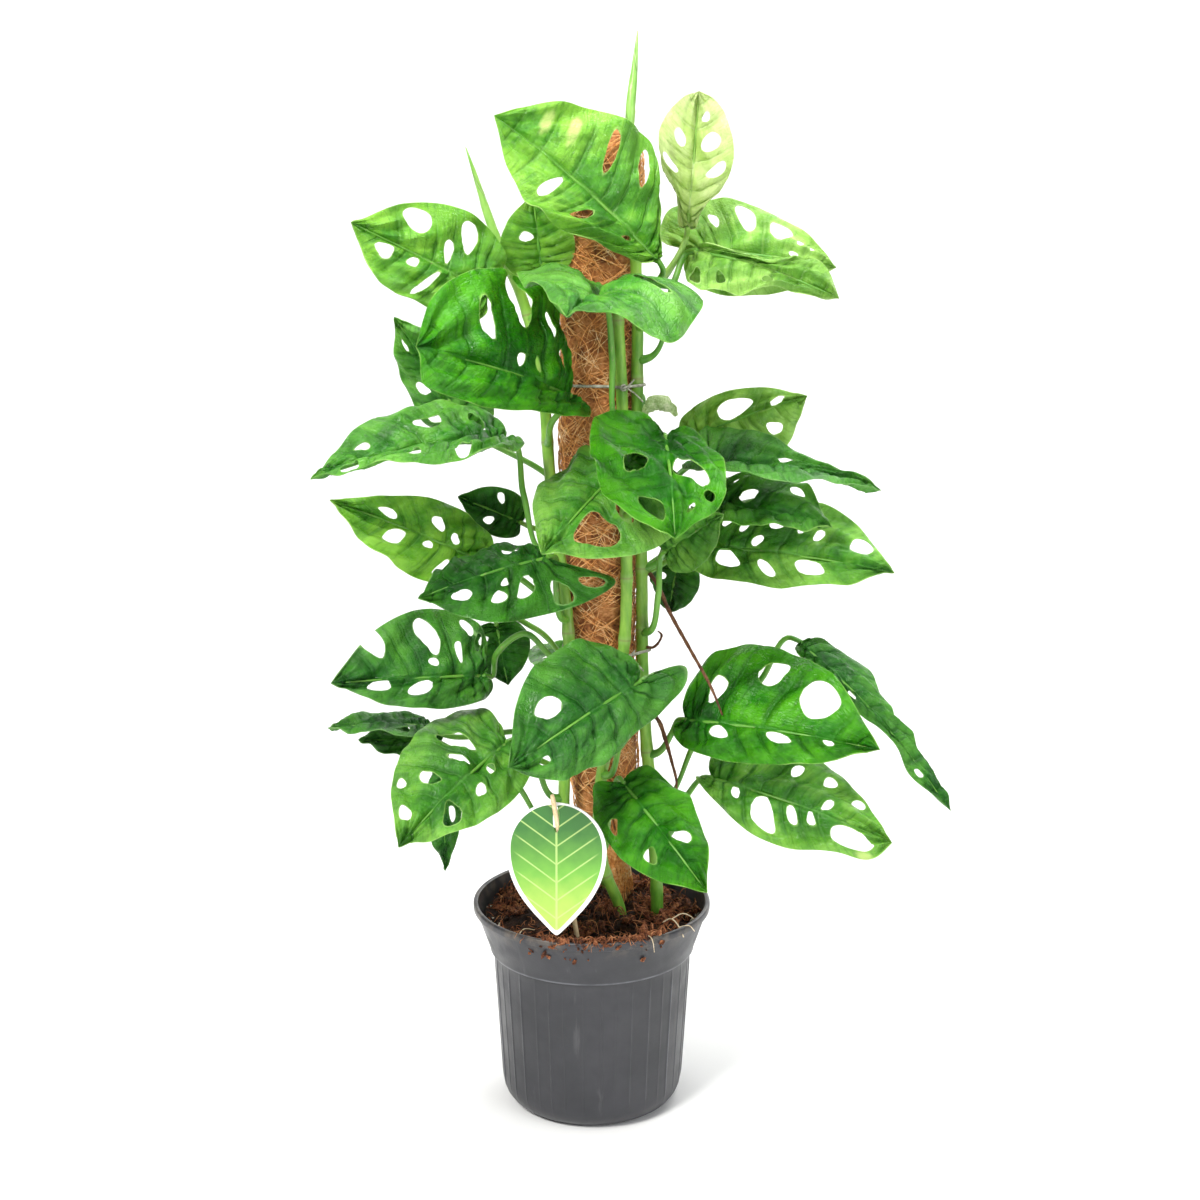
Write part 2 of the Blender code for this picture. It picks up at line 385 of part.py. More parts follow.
def leaf_point(leaf, q, v):
    """Where a leaf's point lies: q from 0 at the stalk to 1 at the tip, v from -1 to 1 across."""
    q, v = np.broadcast_arrays(np.asarray(q, float), np.asarray(v, float))
    base, along, face, across, length = leaf_frame(leaf)
    right = v > 0
    margin = np.where(right[..., None], smooth(margin_rows(leaf, 1), q), smooth(margin_rows(leaf, 0), q))
    reach, out, start = margin[..., 0], margin[..., 1], margin[..., 2]
    r = np.abs(v)
    lobe = np.where(right, *leaf.get("lobes", (0, 0))[::-1])
    reach = reach - lobe * ease(out / 0.6) * (np.clip(0.4 - reach, 0, 1) / 0.45)**2
    basal = np.where(right, *leaf.get("basal", (1, 1))[::-1])
    apical = np.where(right, *leaf.get("apical", (1, 1))[::-1])
    out = out * (basal + (1 - basal) * ease(q / 0.5)) * (1 + (apical - 1) * ease((q - 0.45) / 0.35))
    half = np.where(right, leaf["right"], leaf["left"])
    fold = np.radians(np.where(right, leaf["fold"][1], leaf["fold"][0]))
    curl = np.radians(np.where(right, leaf["curl"][1], leaf["curl"][0]))

    rise = leaf["arch"] * length * 4 * start * (1 - start)
    slope = (leaf["arch"] * 4 * (1 - 2 * start))[..., None]
    stretch = np.sqrt(1 + slope**2)
    forward = (along + face * slope) / stretch
    upward = (face - along * slope) / stretch
    width = r * out * half
    droop = np.radians(np.where(right, *leaf.get("droop", (0, 0))[::-1]))
    tilt = fold + curl * r * out - droop * ease((start - 0.15) / 0.45)
    sideways = np.where(right, 1, -1) * width * np.cos(tilt)
    return (base + along * (length * start)[..., None] + face * rise[..., None]
            + forward * ((reach - start) * length * r**1.5)[..., None]
            + across * sideways[..., None] + upward * (width * np.sin(tilt))[..., None])


def stem_rows(name):
    return smooth_rows(STEMS[name], STEM_RINGS)


def row_at(rows, height):
    """The middle and radius of a rising tube at a height, and its direction there."""
    rows = np.array(rows)
    i = int(np.clip(np.searchsorted(rows[:, 2], height) - 1, 0, len(rows) - 2))
    share = (height - rows[i, 2]) / (rows[i + 1, 2] - rows[i, 2])
    return rows[i] * (1 - share) + rows[i + 1] * share, unit(rows[i + 1, :3] - rows[i, :3])


def stalk_route(leaf):
    """The stalk from the stem's bark to the blade, then the midrib under the blade; x, y, z, radius."""
    base, along, face, _, length = leaf_frame(leaf)
    stem, rising = row_at(stem_rows(leaf["stem"]), leaf["node"])
    through = [np.array(p, float) for p in leaf["via"]] + [base]
    out = through[0] - stem[:3]
    out[2] = 0
    out = unit(out - rising * out.dot(rising))
    start = stem[:3] + out * (stem[3] + STALK_GAP)
    arrival = base - unit(along * 0.8 + face * 0.6) * 9
    points = [start, start + out * 5] + through[:-1] + [arrival, base]
    points += [leaf_point(leaf, q, 0.0) - face * 0.3 for q in (0.45, 0.85)]
    radii = [STALK_RADIUS] * 2 + [STALK_RADIUS - 0.2] * (len(through) - 1) + [NECK_RADIUS] * 2
    radii += [NECK_RADIUS - 0.3, MIDRIB_END_RADIUS]
    return [(*p, r) for p, r in zip(points, radii)]


def make_collection(name):
    collection = bpy.data.collections.new(name)
    bpy.context.scene.collection.children.link(collection)
    return collection


def material(name, colour, roughness, metallic=0.0):
    mat = bpy.data.materials.get(name) or bpy.data.materials.new(name)
    mat.use_nodes = True
    shader = mat.node_tree.nodes["Principled BSDF"]
    shader.inputs["Base Color"].default_value = (*colour, 1.0)
    shader.inputs["Roughness"].default_value = roughness
    shader.inputs["Metallic"].default_value = metallic
    return mat


def add_object(name, data, collection, mat=None):
    obj = bpy.data.objects.new(name, data)
    collection.objects.link(obj)
    if mat is not None:
        data.materials.append(mat)
    return obj


def hide_helper(obj):
    """Mark a cutter or a joined-in shape, which isn't a piece itself."""
    obj.hide_render = True
    obj.display_type = "WIRE"
    return obj


def tube_curve(name, route, sides=8, cyclic=False):
    """A capped tube through x, y, z, radius points; sides is 6, 8, 10 or 12."""
    curve = bpy.data.curves.new(name, "CURVE")
    curve.dimensions = "3D"
    curve.bevel_depth = MM
    curve.bevel_resolution = (sides - 4) // 2
    curve.use_fill_caps = not cyclic
    spline = curve.splines.new("POLY")
    spline.points.add(len(route) - 1)
    spline.use_cyclic_u = cyclic
    for point, (x, y, z, radius) in zip(spline.points, route):
        point.co = (x * MM, y * MM, z * MM, 1.0)
        point.radius = radius
    return curve


def tube(name, route, collection, mat=None, sides=8, grow=0.0, cyclic=False):
    """A mesh tube, welded at its caps, so that it can be cut or joined."""
    route = [(x, y, z, radius + grow) for x, y, z, radius in route]
    guide = bpy.data.objects.new(name + "_guide", tube_curve(name, route, sides, cyclic))
    bpy.context.scene.collection.objects.link(guide)
    evaluated = guide.evaluated_get(bpy.context.evaluated_depsgraph_get())
    mesh = bpy.data.meshes.new_from_object(evaluated)
    bpy.data.objects.remove(guide)
    bm = bmesh.new()
    bm.from_mesh(mesh)
    bmesh.ops.remove_doubles(bm, verts=bm.verts, dist=0.00001)
    bmesh.ops.recalc_face_normals(bm, faces=bm.faces)
    bm.to_mesh(mesh)
    bm.free()
    mesh.name = name
    mesh.materials.clear()
    mesh.shade_smooth()
    mesh.set_sharp_from_angle(angle=math.radians(40))
    return add_object(name, mesh, collection, mat)


def turned(name, profile, collection, mat, steps):
    """A turned shape: the profile is radius, height points, running down the outer side."""
    mesh = bpy.data.meshes.new(name)
    mesh.from_pydata([(r * MM, 0, z * MM) for r, z in profile],
                     [(i, i + 1) for i in range(len(profile) - 1)], [])
    obj = add_object(name, mesh, collection, mat)
    screw = obj.modifiers.new("Turn", "SCREW")
    screw.steps = steps
    screw.render_steps = steps
    screw.use_merge_vertices = True
    screw.merge_threshold = 0.00001
    return obj


def cut(obj, cutter):
    boolean = obj.modifiers.new("Cut " + cutter.name, "BOOLEAN")
    boolean.operation = "DIFFERENCE"
    boolean.object = cutter


def join(obj, other):
    boolean = obj.modifiers.new("Join " + other.name, "BOOLEAN")
    boolean.operation = "UNION"
    boolean.object = other


def make_pot(parts, cutters):
    wall = POT_WALL
    rim, neck, foot = POT_RIM_RADIUS, POT_NECK_RADIUS, POT_FOOT_RADIUS
    profile = [
        (0, POT_FLOOR), (foot - 8, POT_FLOOR), (foot - wall - 2, 10), (foot - wall, 17),
        (neck - wall - 0.4, POT_NECK_HEIGHT - 2), (neck - wall + 1.6, POT_NECK_HEIGHT + 1.5),
        (rim - 6.6, 138), (rim - 4.4, 146), (rim - 2.0, POT_HEIGHT), (rim - 0.8, POT_HEIGHT),
        (rim, POT_HEIGHT - 1.2), (rim, POT_HEIGHT - 5), (rim - 2.4, POT_HEIGHT - 6.2),
        (rim - 4.6, 138), (neck + 1.6, POT_NECK_HEIGHT + 1), (neck, POT_NECK_HEIGHT - 0.5),
        (neck - 0.6, POT_NECK_HEIGHT - 2.5), (foot, 16), (foot - 1.6, 9), (foot - 5.5, 3.4),
        (FOOT_RING[1] + 2, 0.6), (FOOT_RING[1], 0), (FOOT_RING[0], 0), (FOOT_RING[0] - 1.2, 2.4),
        (FOOT_BOSS + 1.2, 2.4), (FOOT_BOSS, 0), (0, 0)]
    pot = turned("pot", profile, parts, material("pot_plastic", (0.09, 0.09, 0.095), 0.42),
                 TURN_STEPS)
    for i in range(DRAIN_COUNT):
        angle = 2 * math.pi * i / DRAIN_COUNT
        bpy.ops.mesh.primitive_cylinder_add(
            vertices=10, radius=DRAIN_RADIUS * MM, depth=12 * MM,
            location=(DRAIN_CIRCLE * MM * math.cos(angle), DRAIN_CIRCLE * MM * math.sin(angle), 3.5 * MM))
        drill = bpy.context.active_object
        drill.name = f"drain_cutter_{i}"
        for collection in drill.users_collection:
            collection.objects.unlink(drill)
        cutters.objects.link(hide_helper(drill))
        cut(pot, drill)
    return pot


def stake_rows():
    return [(x, y, z, STAKE_RADIUS) for x, y, z in smooth_route(STAKE_ROUTE, 16)]


def stick_rows():
    return [(*point, LABEL_STICK_RADIUS) for point in LABEL_STICK]


def socket(name, rows, collection, sides):
    """The hole for a buried tube: the tube, a gap wider all round and below."""
    down = unit(np.array(rows[0][:3]) - np.array(rows[1][:3])) * GAP
    return tube(name, [(*(np.array(rows[0][:3]) + down), rows[0][3])] + rows, collection, None, sides, GAP)


def make_soil(parts, cutters):
    wall = POT_WALL + GAP
    neck, foot, rim = POT_NECK_RADIUS, POT_FOOT_RADIUS, POT_RIM_RADIUS
    profile = [
        (0, SOIL_TOP_HEIGHT), (30, SOIL_TOP_HEIGHT - 1), (58, SOIL_EDGE_HEIGHT + 2.5),
        (rim - 7.4, SOIL_EDGE_HEIGHT), (rim - 7.4 - GAP, 137), (neck - wall + 1.5, POT_NECK_HEIGHT + 1),
        (neck - wall - 0.4, POT_NECK_HEIGHT - 2.2), (foot - wall, 17), (foot - wall - 2.2, 10.4),
        (foot - 8.4, POT_FLOOR + GAP), (0, POT_FLOOR + GAP)]
    soil = turned("soil", profile, parts, material("soil", (0.06, 0.03, 0.018), 0.95), TURN_STEPS)
    for name in STEMS:
        cut(soil, hide_helper(socket(name + "_socket", stem_rows(name), cutters, 8)))
    cut(soil, hide_helper(socket("stake_socket", stake_rows(), cutters, 12)))
    cut(soil, hide_helper(socket("stick_socket", stick_rows(), cutters, 8)))
    return soil


def smooth_rows(route, count):
    return [tuple(row) for row in smooth_route(route, count)]


# Plant label: a card that hangs on a round stick
LABEL_STICK = [(-5, -42, 108), (-26, -83, 257)]
LABEL_STICK_RADIUS = 1.6
CARD_THICKNESS = 0.7
CARD_HOLE = (-23.4, -77.8, 238.1)
CARD_WIDTH = 68.0
CARD_ABOVE_HOLE = 12.0
CARD_BELOW_HOLE = 82.0
CARD_SLOT = (2.3, 9.5)       # half width and half height


def card_outline(count=28):
    """A teardrop, round at the top and pointed below; x and z from the slot."""
    middle = CARD_ABOVE_HOLE - CARD_WIDTH / 2
    points = []
    for i in range(count):
        angle = 2 * math.pi * i / count
        x = math.sin(angle) * CARD_WIDTH / 2
        z = math.cos(angle)
        if z < 0:
            x *= 1 - 0.55 * z**4 * abs(math.cos(angle / 2 - math.pi / 2)) ** 2 if abs(x) > 0 else 1
            depth = CARD_BELOW_HOLE + middle
            points.append((x * (1 - 0.35 * z * z), middle + z * depth))
        else:
            points.append((x, middle + z * CARD_WIDTH / 2))
    return points


def flat_outline(name, points, thickness):
    """A closed outline in the X-Z plane, as a mesh slab of the given thickness."""
    curve = bpy.data.curves.new(name, "CURVE")
    curve.dimensions = "2D"
    curve.fill_mode = "BOTH"
    curve.extrude = thickness * MM / 2
    spline = curve.splines.new("POLY")
    spline.points.add(len(points) - 1)
    spline.use_cyclic_u = True
    for point, (x, z) in zip(spline.points, points):
        point.co = (x * MM, z * MM, 0, 1.0)
    guide = bpy.data.objects.new(name + "_guide", curve)
    bpy.context.scene.collection.objects.link(guide)
    evaluated = guide.evaluated_get(bpy.context.evaluated_depsgraph_get())
    mesh = bpy.data.meshes.new_from_object(evaluated)
    bpy.data.objects.remove(guide)
    bm = bmesh.new()
    bm.from_mesh(mesh)
    bmesh.ops.remove_doubles(bm, verts=bm.verts, dist=0.00001)
    bmesh.ops.recalc_face_normals(bm, faces=bm.faces)
    bm.to_mesh(mesh)
    bm.free()
    mesh.materials.clear()
    return mesh


def make_label(parts, cutters):
    tube("label_stick", stick_rows(), parts, material("label_wood", (0.72, 0.56, 0.34), 0.7), sides=8)
    card = add_object("label_card", flat_outline("label_card", card_outline(), CARD_THICKNESS), parts,
                      material("label_card", (0.35, 0.62, 0.18), 0.35))
    half_width, half_height = CARD_SLOT
    slot = [(half_width * math.sin(a), half_height * math.cos(a))
            for a in np.linspace(0, 2 * math.pi, 14, endpoint=False)]
    cutter = add_object("card_slot_cutter", flat_outline("card_slot_cutter", slot, 4), cutters)
    for obj in (card, cutter):
        obj.location = Vector(CARD_HOLE) * MM
        obj.rotation_euler = (math.radians(90), 0, math.radians(-4))
    cut(card, hide_helper(cutter))


def make_pole(parts, cutters):
    tube("stake", stake_rows(), parts, material("stake_wood", (0.42, 0.24, 0.12), 0.8), sides=12)
    coir = tube("coir_wrap", smooth_rows(COIR_ROUTE, 15), parts,
                material("coir", (0.45, 0.20, 0.08), 0.9), sides=12)
    top = stake_rows()[::-1]
    bore = [row for row in top if row[2] > 150][::-1]
    end = np.array(top[0][:3]) + unit(np.array(top[0][:3]) - np.array(top[1][:3])) * GAP
    cut(coir, hide_helper(tube("stake_bore", bore + [(*end, STAKE_RADIUS)], cutters, None, 12, GAP)))


def hull(points):
    """The corners of the convex outline round flat points, in order."""
    points = sorted(map(tuple, points))
    corners = []
    for run in (points, points[::-1]):
        half = []
        for x, y in run:
            while len(half) > 1 and ((half[-1][0] - half[-2][0]) * (y - half[-2][1])
                                     - (half[-1][1] - half[-2][1]) * (x - half[-2][0])) <= 0:
                half.pop()
            half.append((x, y))
        corners += half[:-1]
    return corners


def make_ties(parts):
    twine = material("tie_twine", (0.50, 0.44, 0.34), 0.6)
    for name, (height, stems) in TIES.items():
        held = [row_at(smooth_rows(COIR_ROUTE, 15), height)[0]]
        held += [row_at(stem_rows(stem), height)[0] for stem in stems]
        points = []
        for x, y, _, radius in held:
            reach = radius + TIE_RADIUS + GAP
            points += [(x + reach * math.cos(a), y + reach * math.sin(a))
                       for a in np.linspace(0, 2 * math.pi, 24, endpoint=False)]
        loop = [(x, y, height, TIE_RADIUS) for x, y in hull(points)]
        tube(name, loop, parts, twine, sides=6, cyclic=True)


def make_stems(parts):
    green = material("stem_green", (0.16, 0.32, 0.05), 0.45)
    for name in STEMS:
        tube(name, stem_rows(name), parts, green, sides=8)
    pale = material("new_leaf", (0.45, 0.62, 0.18), 0.45)
    for name, route in NEW_LEAVES.items():
        tube(name, smooth_rows(route, 7), parts, pale, sides=8)
    brown = material("aerial_root", (0.22, 0.09, 0.035), 0.75)
    for name, route in AERIAL_ROOTS.items():
        tube(name, smooth_rows(route, 10), parts, brown, sides=6)


def make_blade(name, leaf, collection, mat):
    """The blade: a grid laid over the leaf's surface, with its windows left out, then given a thickness."""
    columns = len(BLADE_COLUMNS) - 1
    bm = bmesh.new()
    bmesh.ops.create_grid(bm, x_segments=2 * columns, y_segments=BLADE_ROWS, size=1.0)
    windows = {(side, min(int(along * BLADE_ROWS), BLADE_ROWS - 2))
               for side, along, _, outer, _ in leaf["holes"] if outer <= 1}
    open_cells = []
    for face in bm.faces:
        middle = face.calc_center_median()
        side = 1 if middle.x > 0 else -1
        column = int(abs(middle.x) * columns)
        row = int((middle.y + 1) / 2 * BLADE_ROWS)
        if column == 1 and (side, max(row, 1)) in windows:
            open_cells.append(face)
    bmesh.ops.delete(bm, geom=open_cells, context="FACES")
    for vert in bm.verts:
        column = BLADE_COLUMNS[round(abs(vert.co.x) * columns)]
        across = math.copysign(column, vert.co.x)
        vert.co = Vector(leaf_point(leaf, (vert.co.y + 1) / 2, across)) * MM
    bmesh.ops.remove_doubles(bm, verts=bm.verts, dist=0.0001)
    mesh = bpy.data.meshes.new(name)
    bm.to_mesh(mesh)
    bm.free()
    obj = add_object(name, mesh, collection, mat)
    solid = obj.modifiers.new("Thickness", "SOLIDIFY")
    solid.thickness = BLADE_THICKNESS * MM
    solid.offset = 0.0
    return obj


def make_leaves(parts, cutters):
    green = material("leaf_green", (0.07, 0.30, 0.03), 0.35)
    for name, leaf in LEAVES.items():
        blade = make_blade(name, leaf, parts, green)
        route = stalk_route(leaf)
        stalk = tube(name + "_stalk", route[:1] + smooth_rows(route[1:-2], 7) + route[-2:], cutters, sides=6)
        join(blade, hide_helper(stalk))


def main():
    for obj in list(bpy.data.objects):
        bpy.data.objects.remove(obj)
    parts = make_collection("monstera_adansonii")
    cutters = make_collection("cutters")
    make_pot(parts, cutters)
    make_soil(parts, cutters)
    make_pole(parts, cutters)
    make_label(parts, cutters)
    make_ties(parts)
    make_stems(parts)
    make_leaves(parts, cutters)


if __name__ == "__main__":
    main()
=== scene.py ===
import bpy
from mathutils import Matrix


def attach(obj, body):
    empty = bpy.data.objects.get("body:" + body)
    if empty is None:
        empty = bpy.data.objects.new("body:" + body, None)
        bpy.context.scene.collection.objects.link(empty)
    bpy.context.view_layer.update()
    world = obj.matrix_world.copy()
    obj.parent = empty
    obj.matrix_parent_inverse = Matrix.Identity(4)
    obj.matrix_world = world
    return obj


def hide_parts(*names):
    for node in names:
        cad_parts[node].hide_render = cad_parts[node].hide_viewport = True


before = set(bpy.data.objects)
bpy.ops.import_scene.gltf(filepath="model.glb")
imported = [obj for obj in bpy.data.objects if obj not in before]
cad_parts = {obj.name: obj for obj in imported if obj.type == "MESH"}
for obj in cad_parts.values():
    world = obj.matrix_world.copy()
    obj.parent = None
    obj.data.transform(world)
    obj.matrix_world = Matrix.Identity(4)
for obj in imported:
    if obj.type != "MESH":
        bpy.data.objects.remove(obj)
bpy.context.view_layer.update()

import math

import bpy
import numpy as np
from mathutils import Vector, noise

mm = 0.001
print("frame loaded:", len(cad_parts), "nodes")


# small helpers
def pickNothing():
    if bpy.context.object and bpy.context.object.mode != "OBJECT":
        bpy.ops.object.mode_set(mode="OBJECT")
    bpy.ops.object.select_all(action="DESELECT")


def pickOnly(piece):
    pickNothing()
    piece.select_set(True)
    bpy.context.view_layer.objects.active = piece


def pickFaces(piece, chosen):  # leaves the piece in edit mode with only these faces picked
    pickOnly(piece)
    bpy.context.tool_settings.mesh_select_mode = (False, False, True)
    mesh = piece.data
    mesh.vertices.foreach_set("select", np.zeros(len(mesh.vertices), bool))
    mesh.edges.foreach_set("select", np.zeros(len(mesh.edges), bool))
    mesh.polygons.foreach_set("select", np.asarray(chosen, bool))
    bpy.ops.object.mode_set(mode="EDIT")


def placesOf(piece):
    flat = np.empty(len(piece.data.vertices) * 3)
    piece.data.vertices.foreach_get("co", flat)
    return flat.reshape(-1, 3)


def movePlaces(piece, places):
    piece.data.vertices.foreach_set("co", np.asarray(places, float).ravel())
    piece.data.update()


def cornersOf(piece):  # vertex of each face corner, and the face it belongs to
    mesh = piece.data
    verts = np.empty(len(mesh.loops), int)
    mesh.loops.foreach_get("vertex_index", verts)
    counts = np.empty(len(mesh.polygons), int)
    mesh.polygons.foreach_get("loop_total", counts)
    return verts, np.repeat(np.arange(len(counts)), counts)


def setMap(piece, values):  # writes the piece's own map, one pair for each face corner
    layer = piece.data.uv_layers.active or piece.data.uv_layers.new()
    layer.name = "own"
    layer.data.foreach_set("uv", np.asarray(values, float).ravel())


def setValue(piece, name, values):
    attribute = piece.data.attributes.new(name, "FLOAT", "POINT")
    attribute.data.foreach_set("value", np.asarray(values, float))


def addGrid(name, columns, rows):
    pickNothing()
    bpy.ops.mesh.primitive_grid_add(x_subdivisions=columns, y_subdivisions=rows, size=2,
                                    location=(0, 0, 0))
    piece = bpy.context.object
    piece.name = piece.data.name = name
    return piece


def weld(piece, reach=0.00002, outward=True):
    pickOnly(piece)
    bpy.ops.object.mode_set(mode="EDIT")
    bpy.ops.mesh.select_all(action="SELECT")
    bpy.ops.mesh.remove_doubles(threshold=reach)
    bpy.ops.mesh.delete_loose()
    if outward:
        bpy.ops.mesh.select_all(action="SELECT")
        bpy.ops.mesh.normals_make_consistent(inside=False)
    bpy.ops.object.mode_set(mode="OBJECT")


def shadeSoft(piece, angle=40):
    pickOnly(piece)
    bpy.ops.object.shade_smooth_by_angle(angle=math.radians(angle))


def applyAll(piece):
    pickOnly(piece)
    for name in [modifier.name for modifier in piece.modifiers]:
        bpy.ops.object.modifier_apply(modifier=name)


def thicken(piece, thickness, offset):  # the far side and the edge take the second material
    solid = piece.modifiers.new("Thickness", "SOLIDIFY")
    solid.thickness = thickness * mm
    solid.offset = offset
    solid.material_offset = 1
    solid.material_offset_rim = 1
    applyAll(piece)


def joinPieces(first, others):
    pickNothing()
    for piece in others:
        piece.select_set(True)
    first.select_set(True)
    bpy.context.view_layer.objects.active = first
    bpy.ops.object.join()
    return first


def dress(piece, *materials):
    piece.data.materials.clear()
    for made in materials:
        piece.data.materials.append(made)


def settle(piece, slotName, *nodes):  # everything rides on the one body
    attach(piece, "root")
    if nodes:
        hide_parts(*nodes)


def complete(piece, made, angle, slotName, *nodes):
    dress(piece, made)
    shadeSoft(piece, angle)
    settle(piece, slotName, *nodes)


def ease(t):
    t = np.clip(t, 0, 1)
    return t * t * (3 - 2 * t)


def unit(vector):
    return vector / max(np.linalg.norm(vector), 1e-12)


def smooth(table, q):  # a smooth curve through rows whose first column is q
    rows = np.array(table, float)
    knots, values = rows[:, 0], rows[:, 1:]
    slopes = np.gradient(values, knots, axis=0)
    q = np.asarray(q, float)
    i = np.clip(np.searchsorted(knots, q, side="right") - 1, 0, len(knots) - 2)
    step = (knots[i + 1] - knots[i])[..., None]
    t = (q[..., None] - knots[i][..., None]) / step
    return ((2 * t**3 - 3 * t**2 + 1) * values[i] + (t**3 - 2 * t**2 + t) * step * slopes[i]
            + (3 * t**2 - 2 * t**3) * values[i + 1] + (t**3 - t**2) * step * slopes[i + 1])


def smoothRoute(points, count):  # points spread evenly along a smooth curve, with their radii
    rows = np.array(points, float)
    steps = np.linalg.norm(np.diff(rows[:, :3], axis=0), axis=1)
    knots = np.concatenate([[0], np.cumsum(steps)])
    return smooth(np.column_stack([knots, rows]), np.linspace(0, knots[-1], count))


def sweepFrames(middles):  # two directions across a route, carried along without twisting
    ahead = np.gradient(middles, axis=0)
    ahead /= np.linalg.norm(ahead, axis=1)[:, None]
    first = unit(np.cross(ahead[0], (0.3, 0.2, 1.0) if abs(ahead[0][2]) < 0.9 else (1.0, 0.1, 0.0)))
    sides = [first]
    for i in range(1, len(middles)):
        sides.append(unit(sides[-1] - ahead[i] * np.dot(sides[-1], ahead[i])))
    sides = np.array(sides)
    return sides, np.cross(ahead, sides)


def ringAndTurn(at, rings):  # what a grid's columns and rows become on a tube
    return np.rint((at[:, 1] + 1) / 2 * (rings - 1)).astype(int), (at[:, 0] + 1) * math.pi


def makeTube(name, rows, sides, shape=None, squeeze=1.0):  # rows are x, y, z, radius; both ends are closed
    rows = np.array(rows, float)
    caps = []
    for end, before in ((rows[0], rows[1]), (rows[-1], rows[-2])):
        lead = np.append(unit(end[:3] - before[:3]) * end[3] * 0.35, 0.0)
        rim = end * (1, 1, 1, 0.7)
        caps.append([rim + lead * 0.8, (rim + lead) * (1, 1, 1, 0)])
    rings = np.vstack([caps[0][1], caps[0][0], rows, caps[1][0], caps[1][1]])
    across, up = sweepFrames(rings[:, :3])
    travelled = np.concatenate([[0], np.cumsum(np.linalg.norm(np.diff(rings[:, :3], axis=0), axis=1))])
    piece = addGrid(name, sides, len(rings) - 1)
    at = placesOf(piece)
    ring, turn = ringAndTurn(at, len(rings))
    reach = rings[ring, 3]
    if shape is not None:
        reach = reach * shape(turn, travelled[ring])
    places = (rings[ring, :3] + across[ring] * (np.cos(turn) * reach)[:, None]
              + up[ring] * (np.sin(turn) * reach * squeeze)[:, None])
    verts, _ = cornersOf(piece)
    setMap(piece, np.column_stack([(at[verts, 0] + 1) / 2, travelled[ring[verts]]]))
    movePlaces(piece, places * mm)
    weld(piece, 0.000002)
    return piece


def makeTurned(name, profile, segments, shape):  # profile is radius and height, and ends down the outer side
    rows = np.array(profile, float)
    piece = addGrid(name, segments, len(rows) - 1)
    at = placesOf(piece)
    ring, turn = ringAndTurn(at, len(rows))
    turn, reach, height, ridgeHighlight = shape(turn, rows[ring, 0], rows[ring, 1])
    setValue(piece, "ridgeHighlight", ridgeHighlight)
    verts, _ = cornersOf(piece)
    setMap(piece, np.column_stack([(at[verts, 0] + 1) / 2, height[verts]]))
    places = np.column_stack([reach * np.cos(turn), reach * np.sin(turn), height])
    movePlaces(piece, places * mm)
    weld(piece)
    return piece


def repeated(piece, count):  # copies of a small shape in one mesh; the places come back copy by copy
    array = piece.modifiers.new("Copies", "ARRAY")
    array.count = count
    array.use_relative_offset = False
    array.use_constant_offset = True
    array.constant_offset_displace = (0, 0, 0)
    applyAll(piece)
    return placesOf(piece).reshape(count, -1, 3)


def anyTurn(rng):  # a random turn in space
    a = rng.normal(size=(3, 3))
    q, _ = np.linalg.qr(a)
    return q * np.sign(np.linalg.det(q))


# node helpers
def addNode(tree, kind, values=None, **settings):
    made = tree.nodes.new(kind)
    for key, value in settings.items():
        setattr(made, key, value)
    for key, value in (values or {}).items():
        if isinstance(value, bpy.types.NodeSocket):
            tree.links.new(value, made.inputs[key])
        else:
            made.inputs[key].default_value = value
    return made


def noiseAt(tree, vector, scale, detail=2.0, rough=0.5, warp=0.0):
    return addNode(tree, "ShaderNodeTexNoise", {"Vector": vector, "Scale": scale, "Detail": detail,
                                                "Roughness": rough, "Distortion": warp}).outputs[0]


def cellEdges(tree, vector):  # how far the nearest edge between two cells is
    return addNode(tree, "ShaderNodeTexVoronoi", {"Vector": vector, "Scale": 1.0},
                   feature="DISTANCE_TO_EDGE").outputs["Distance"]


def remap(tree, value, low, high, toLow=0.0, toHigh=1.0):
    return addNode(tree, "ShaderNodeMapRange", {"Value": value, "From Min": low, "From Max": high,
                                                "To Min": toLow, "To Max": toHigh},
                   interpolation_type="SMOOTHSTEP").outputs["Result"]


def calc(tree, operation, first, second=0.0):
    return addNode(tree, "ShaderNodeMath", {0: first, 1: second}, operation=operation).outputs[0]


def times(tree, first, second):
    return calc(tree, "MULTIPLY", first, second)


def plus(tree, first, second):
    return calc(tree, "ADD", first, second)


def minus(tree, first, second):
    return calc(tree, "SUBTRACT", first, second)


def mixed(tree, factor, first, second):
    return addNode(tree, "ShaderNodeMix", {0: factor, 6: first, 7: second}, data_type="RGBA").outputs[2]


def ramp(tree, value, *stops):  # stops are place and colour
    made = addNode(tree, "ShaderNodeValToRGB", {0: value})
    bar = made.color_ramp
    while len(bar.elements) < len(stops):
        bar.elements.new(0.5)
    for element, (place, colour) in zip(bar.elements, stops):
        element.position = place
        element.color = (*colour, 1.0)
    return made.outputs[0]


def mapped(tree, vector, scale, turn=(0, 0, 0)):
    return addNode(tree, "ShaderNodeMapping", {"Vector": vector, "Scale": scale, "Rotation": turn}).outputs[0]


def ownMap(tree):
    return addNode(tree, "ShaderNodeUVMap", uv_map="own").outputs[0]


def objectPlaces(tree):
    return addNode(tree, "ShaderNodeTexCoord").outputs["Object"]


def carried(tree, name):  # a value that the piece's own points carry
    return addNode(tree, "ShaderNodeAttribute", attribute_name=name).outputs["Fac"]


def raised(tree, height, distance, strength=1.0):
    return addNode(tree, "ShaderNodeBump", {"Height": height, "Distance": distance,
                                            "Strength": strength}).outputs[0]


def rgb(colour):
    return (*colour, 1.0)


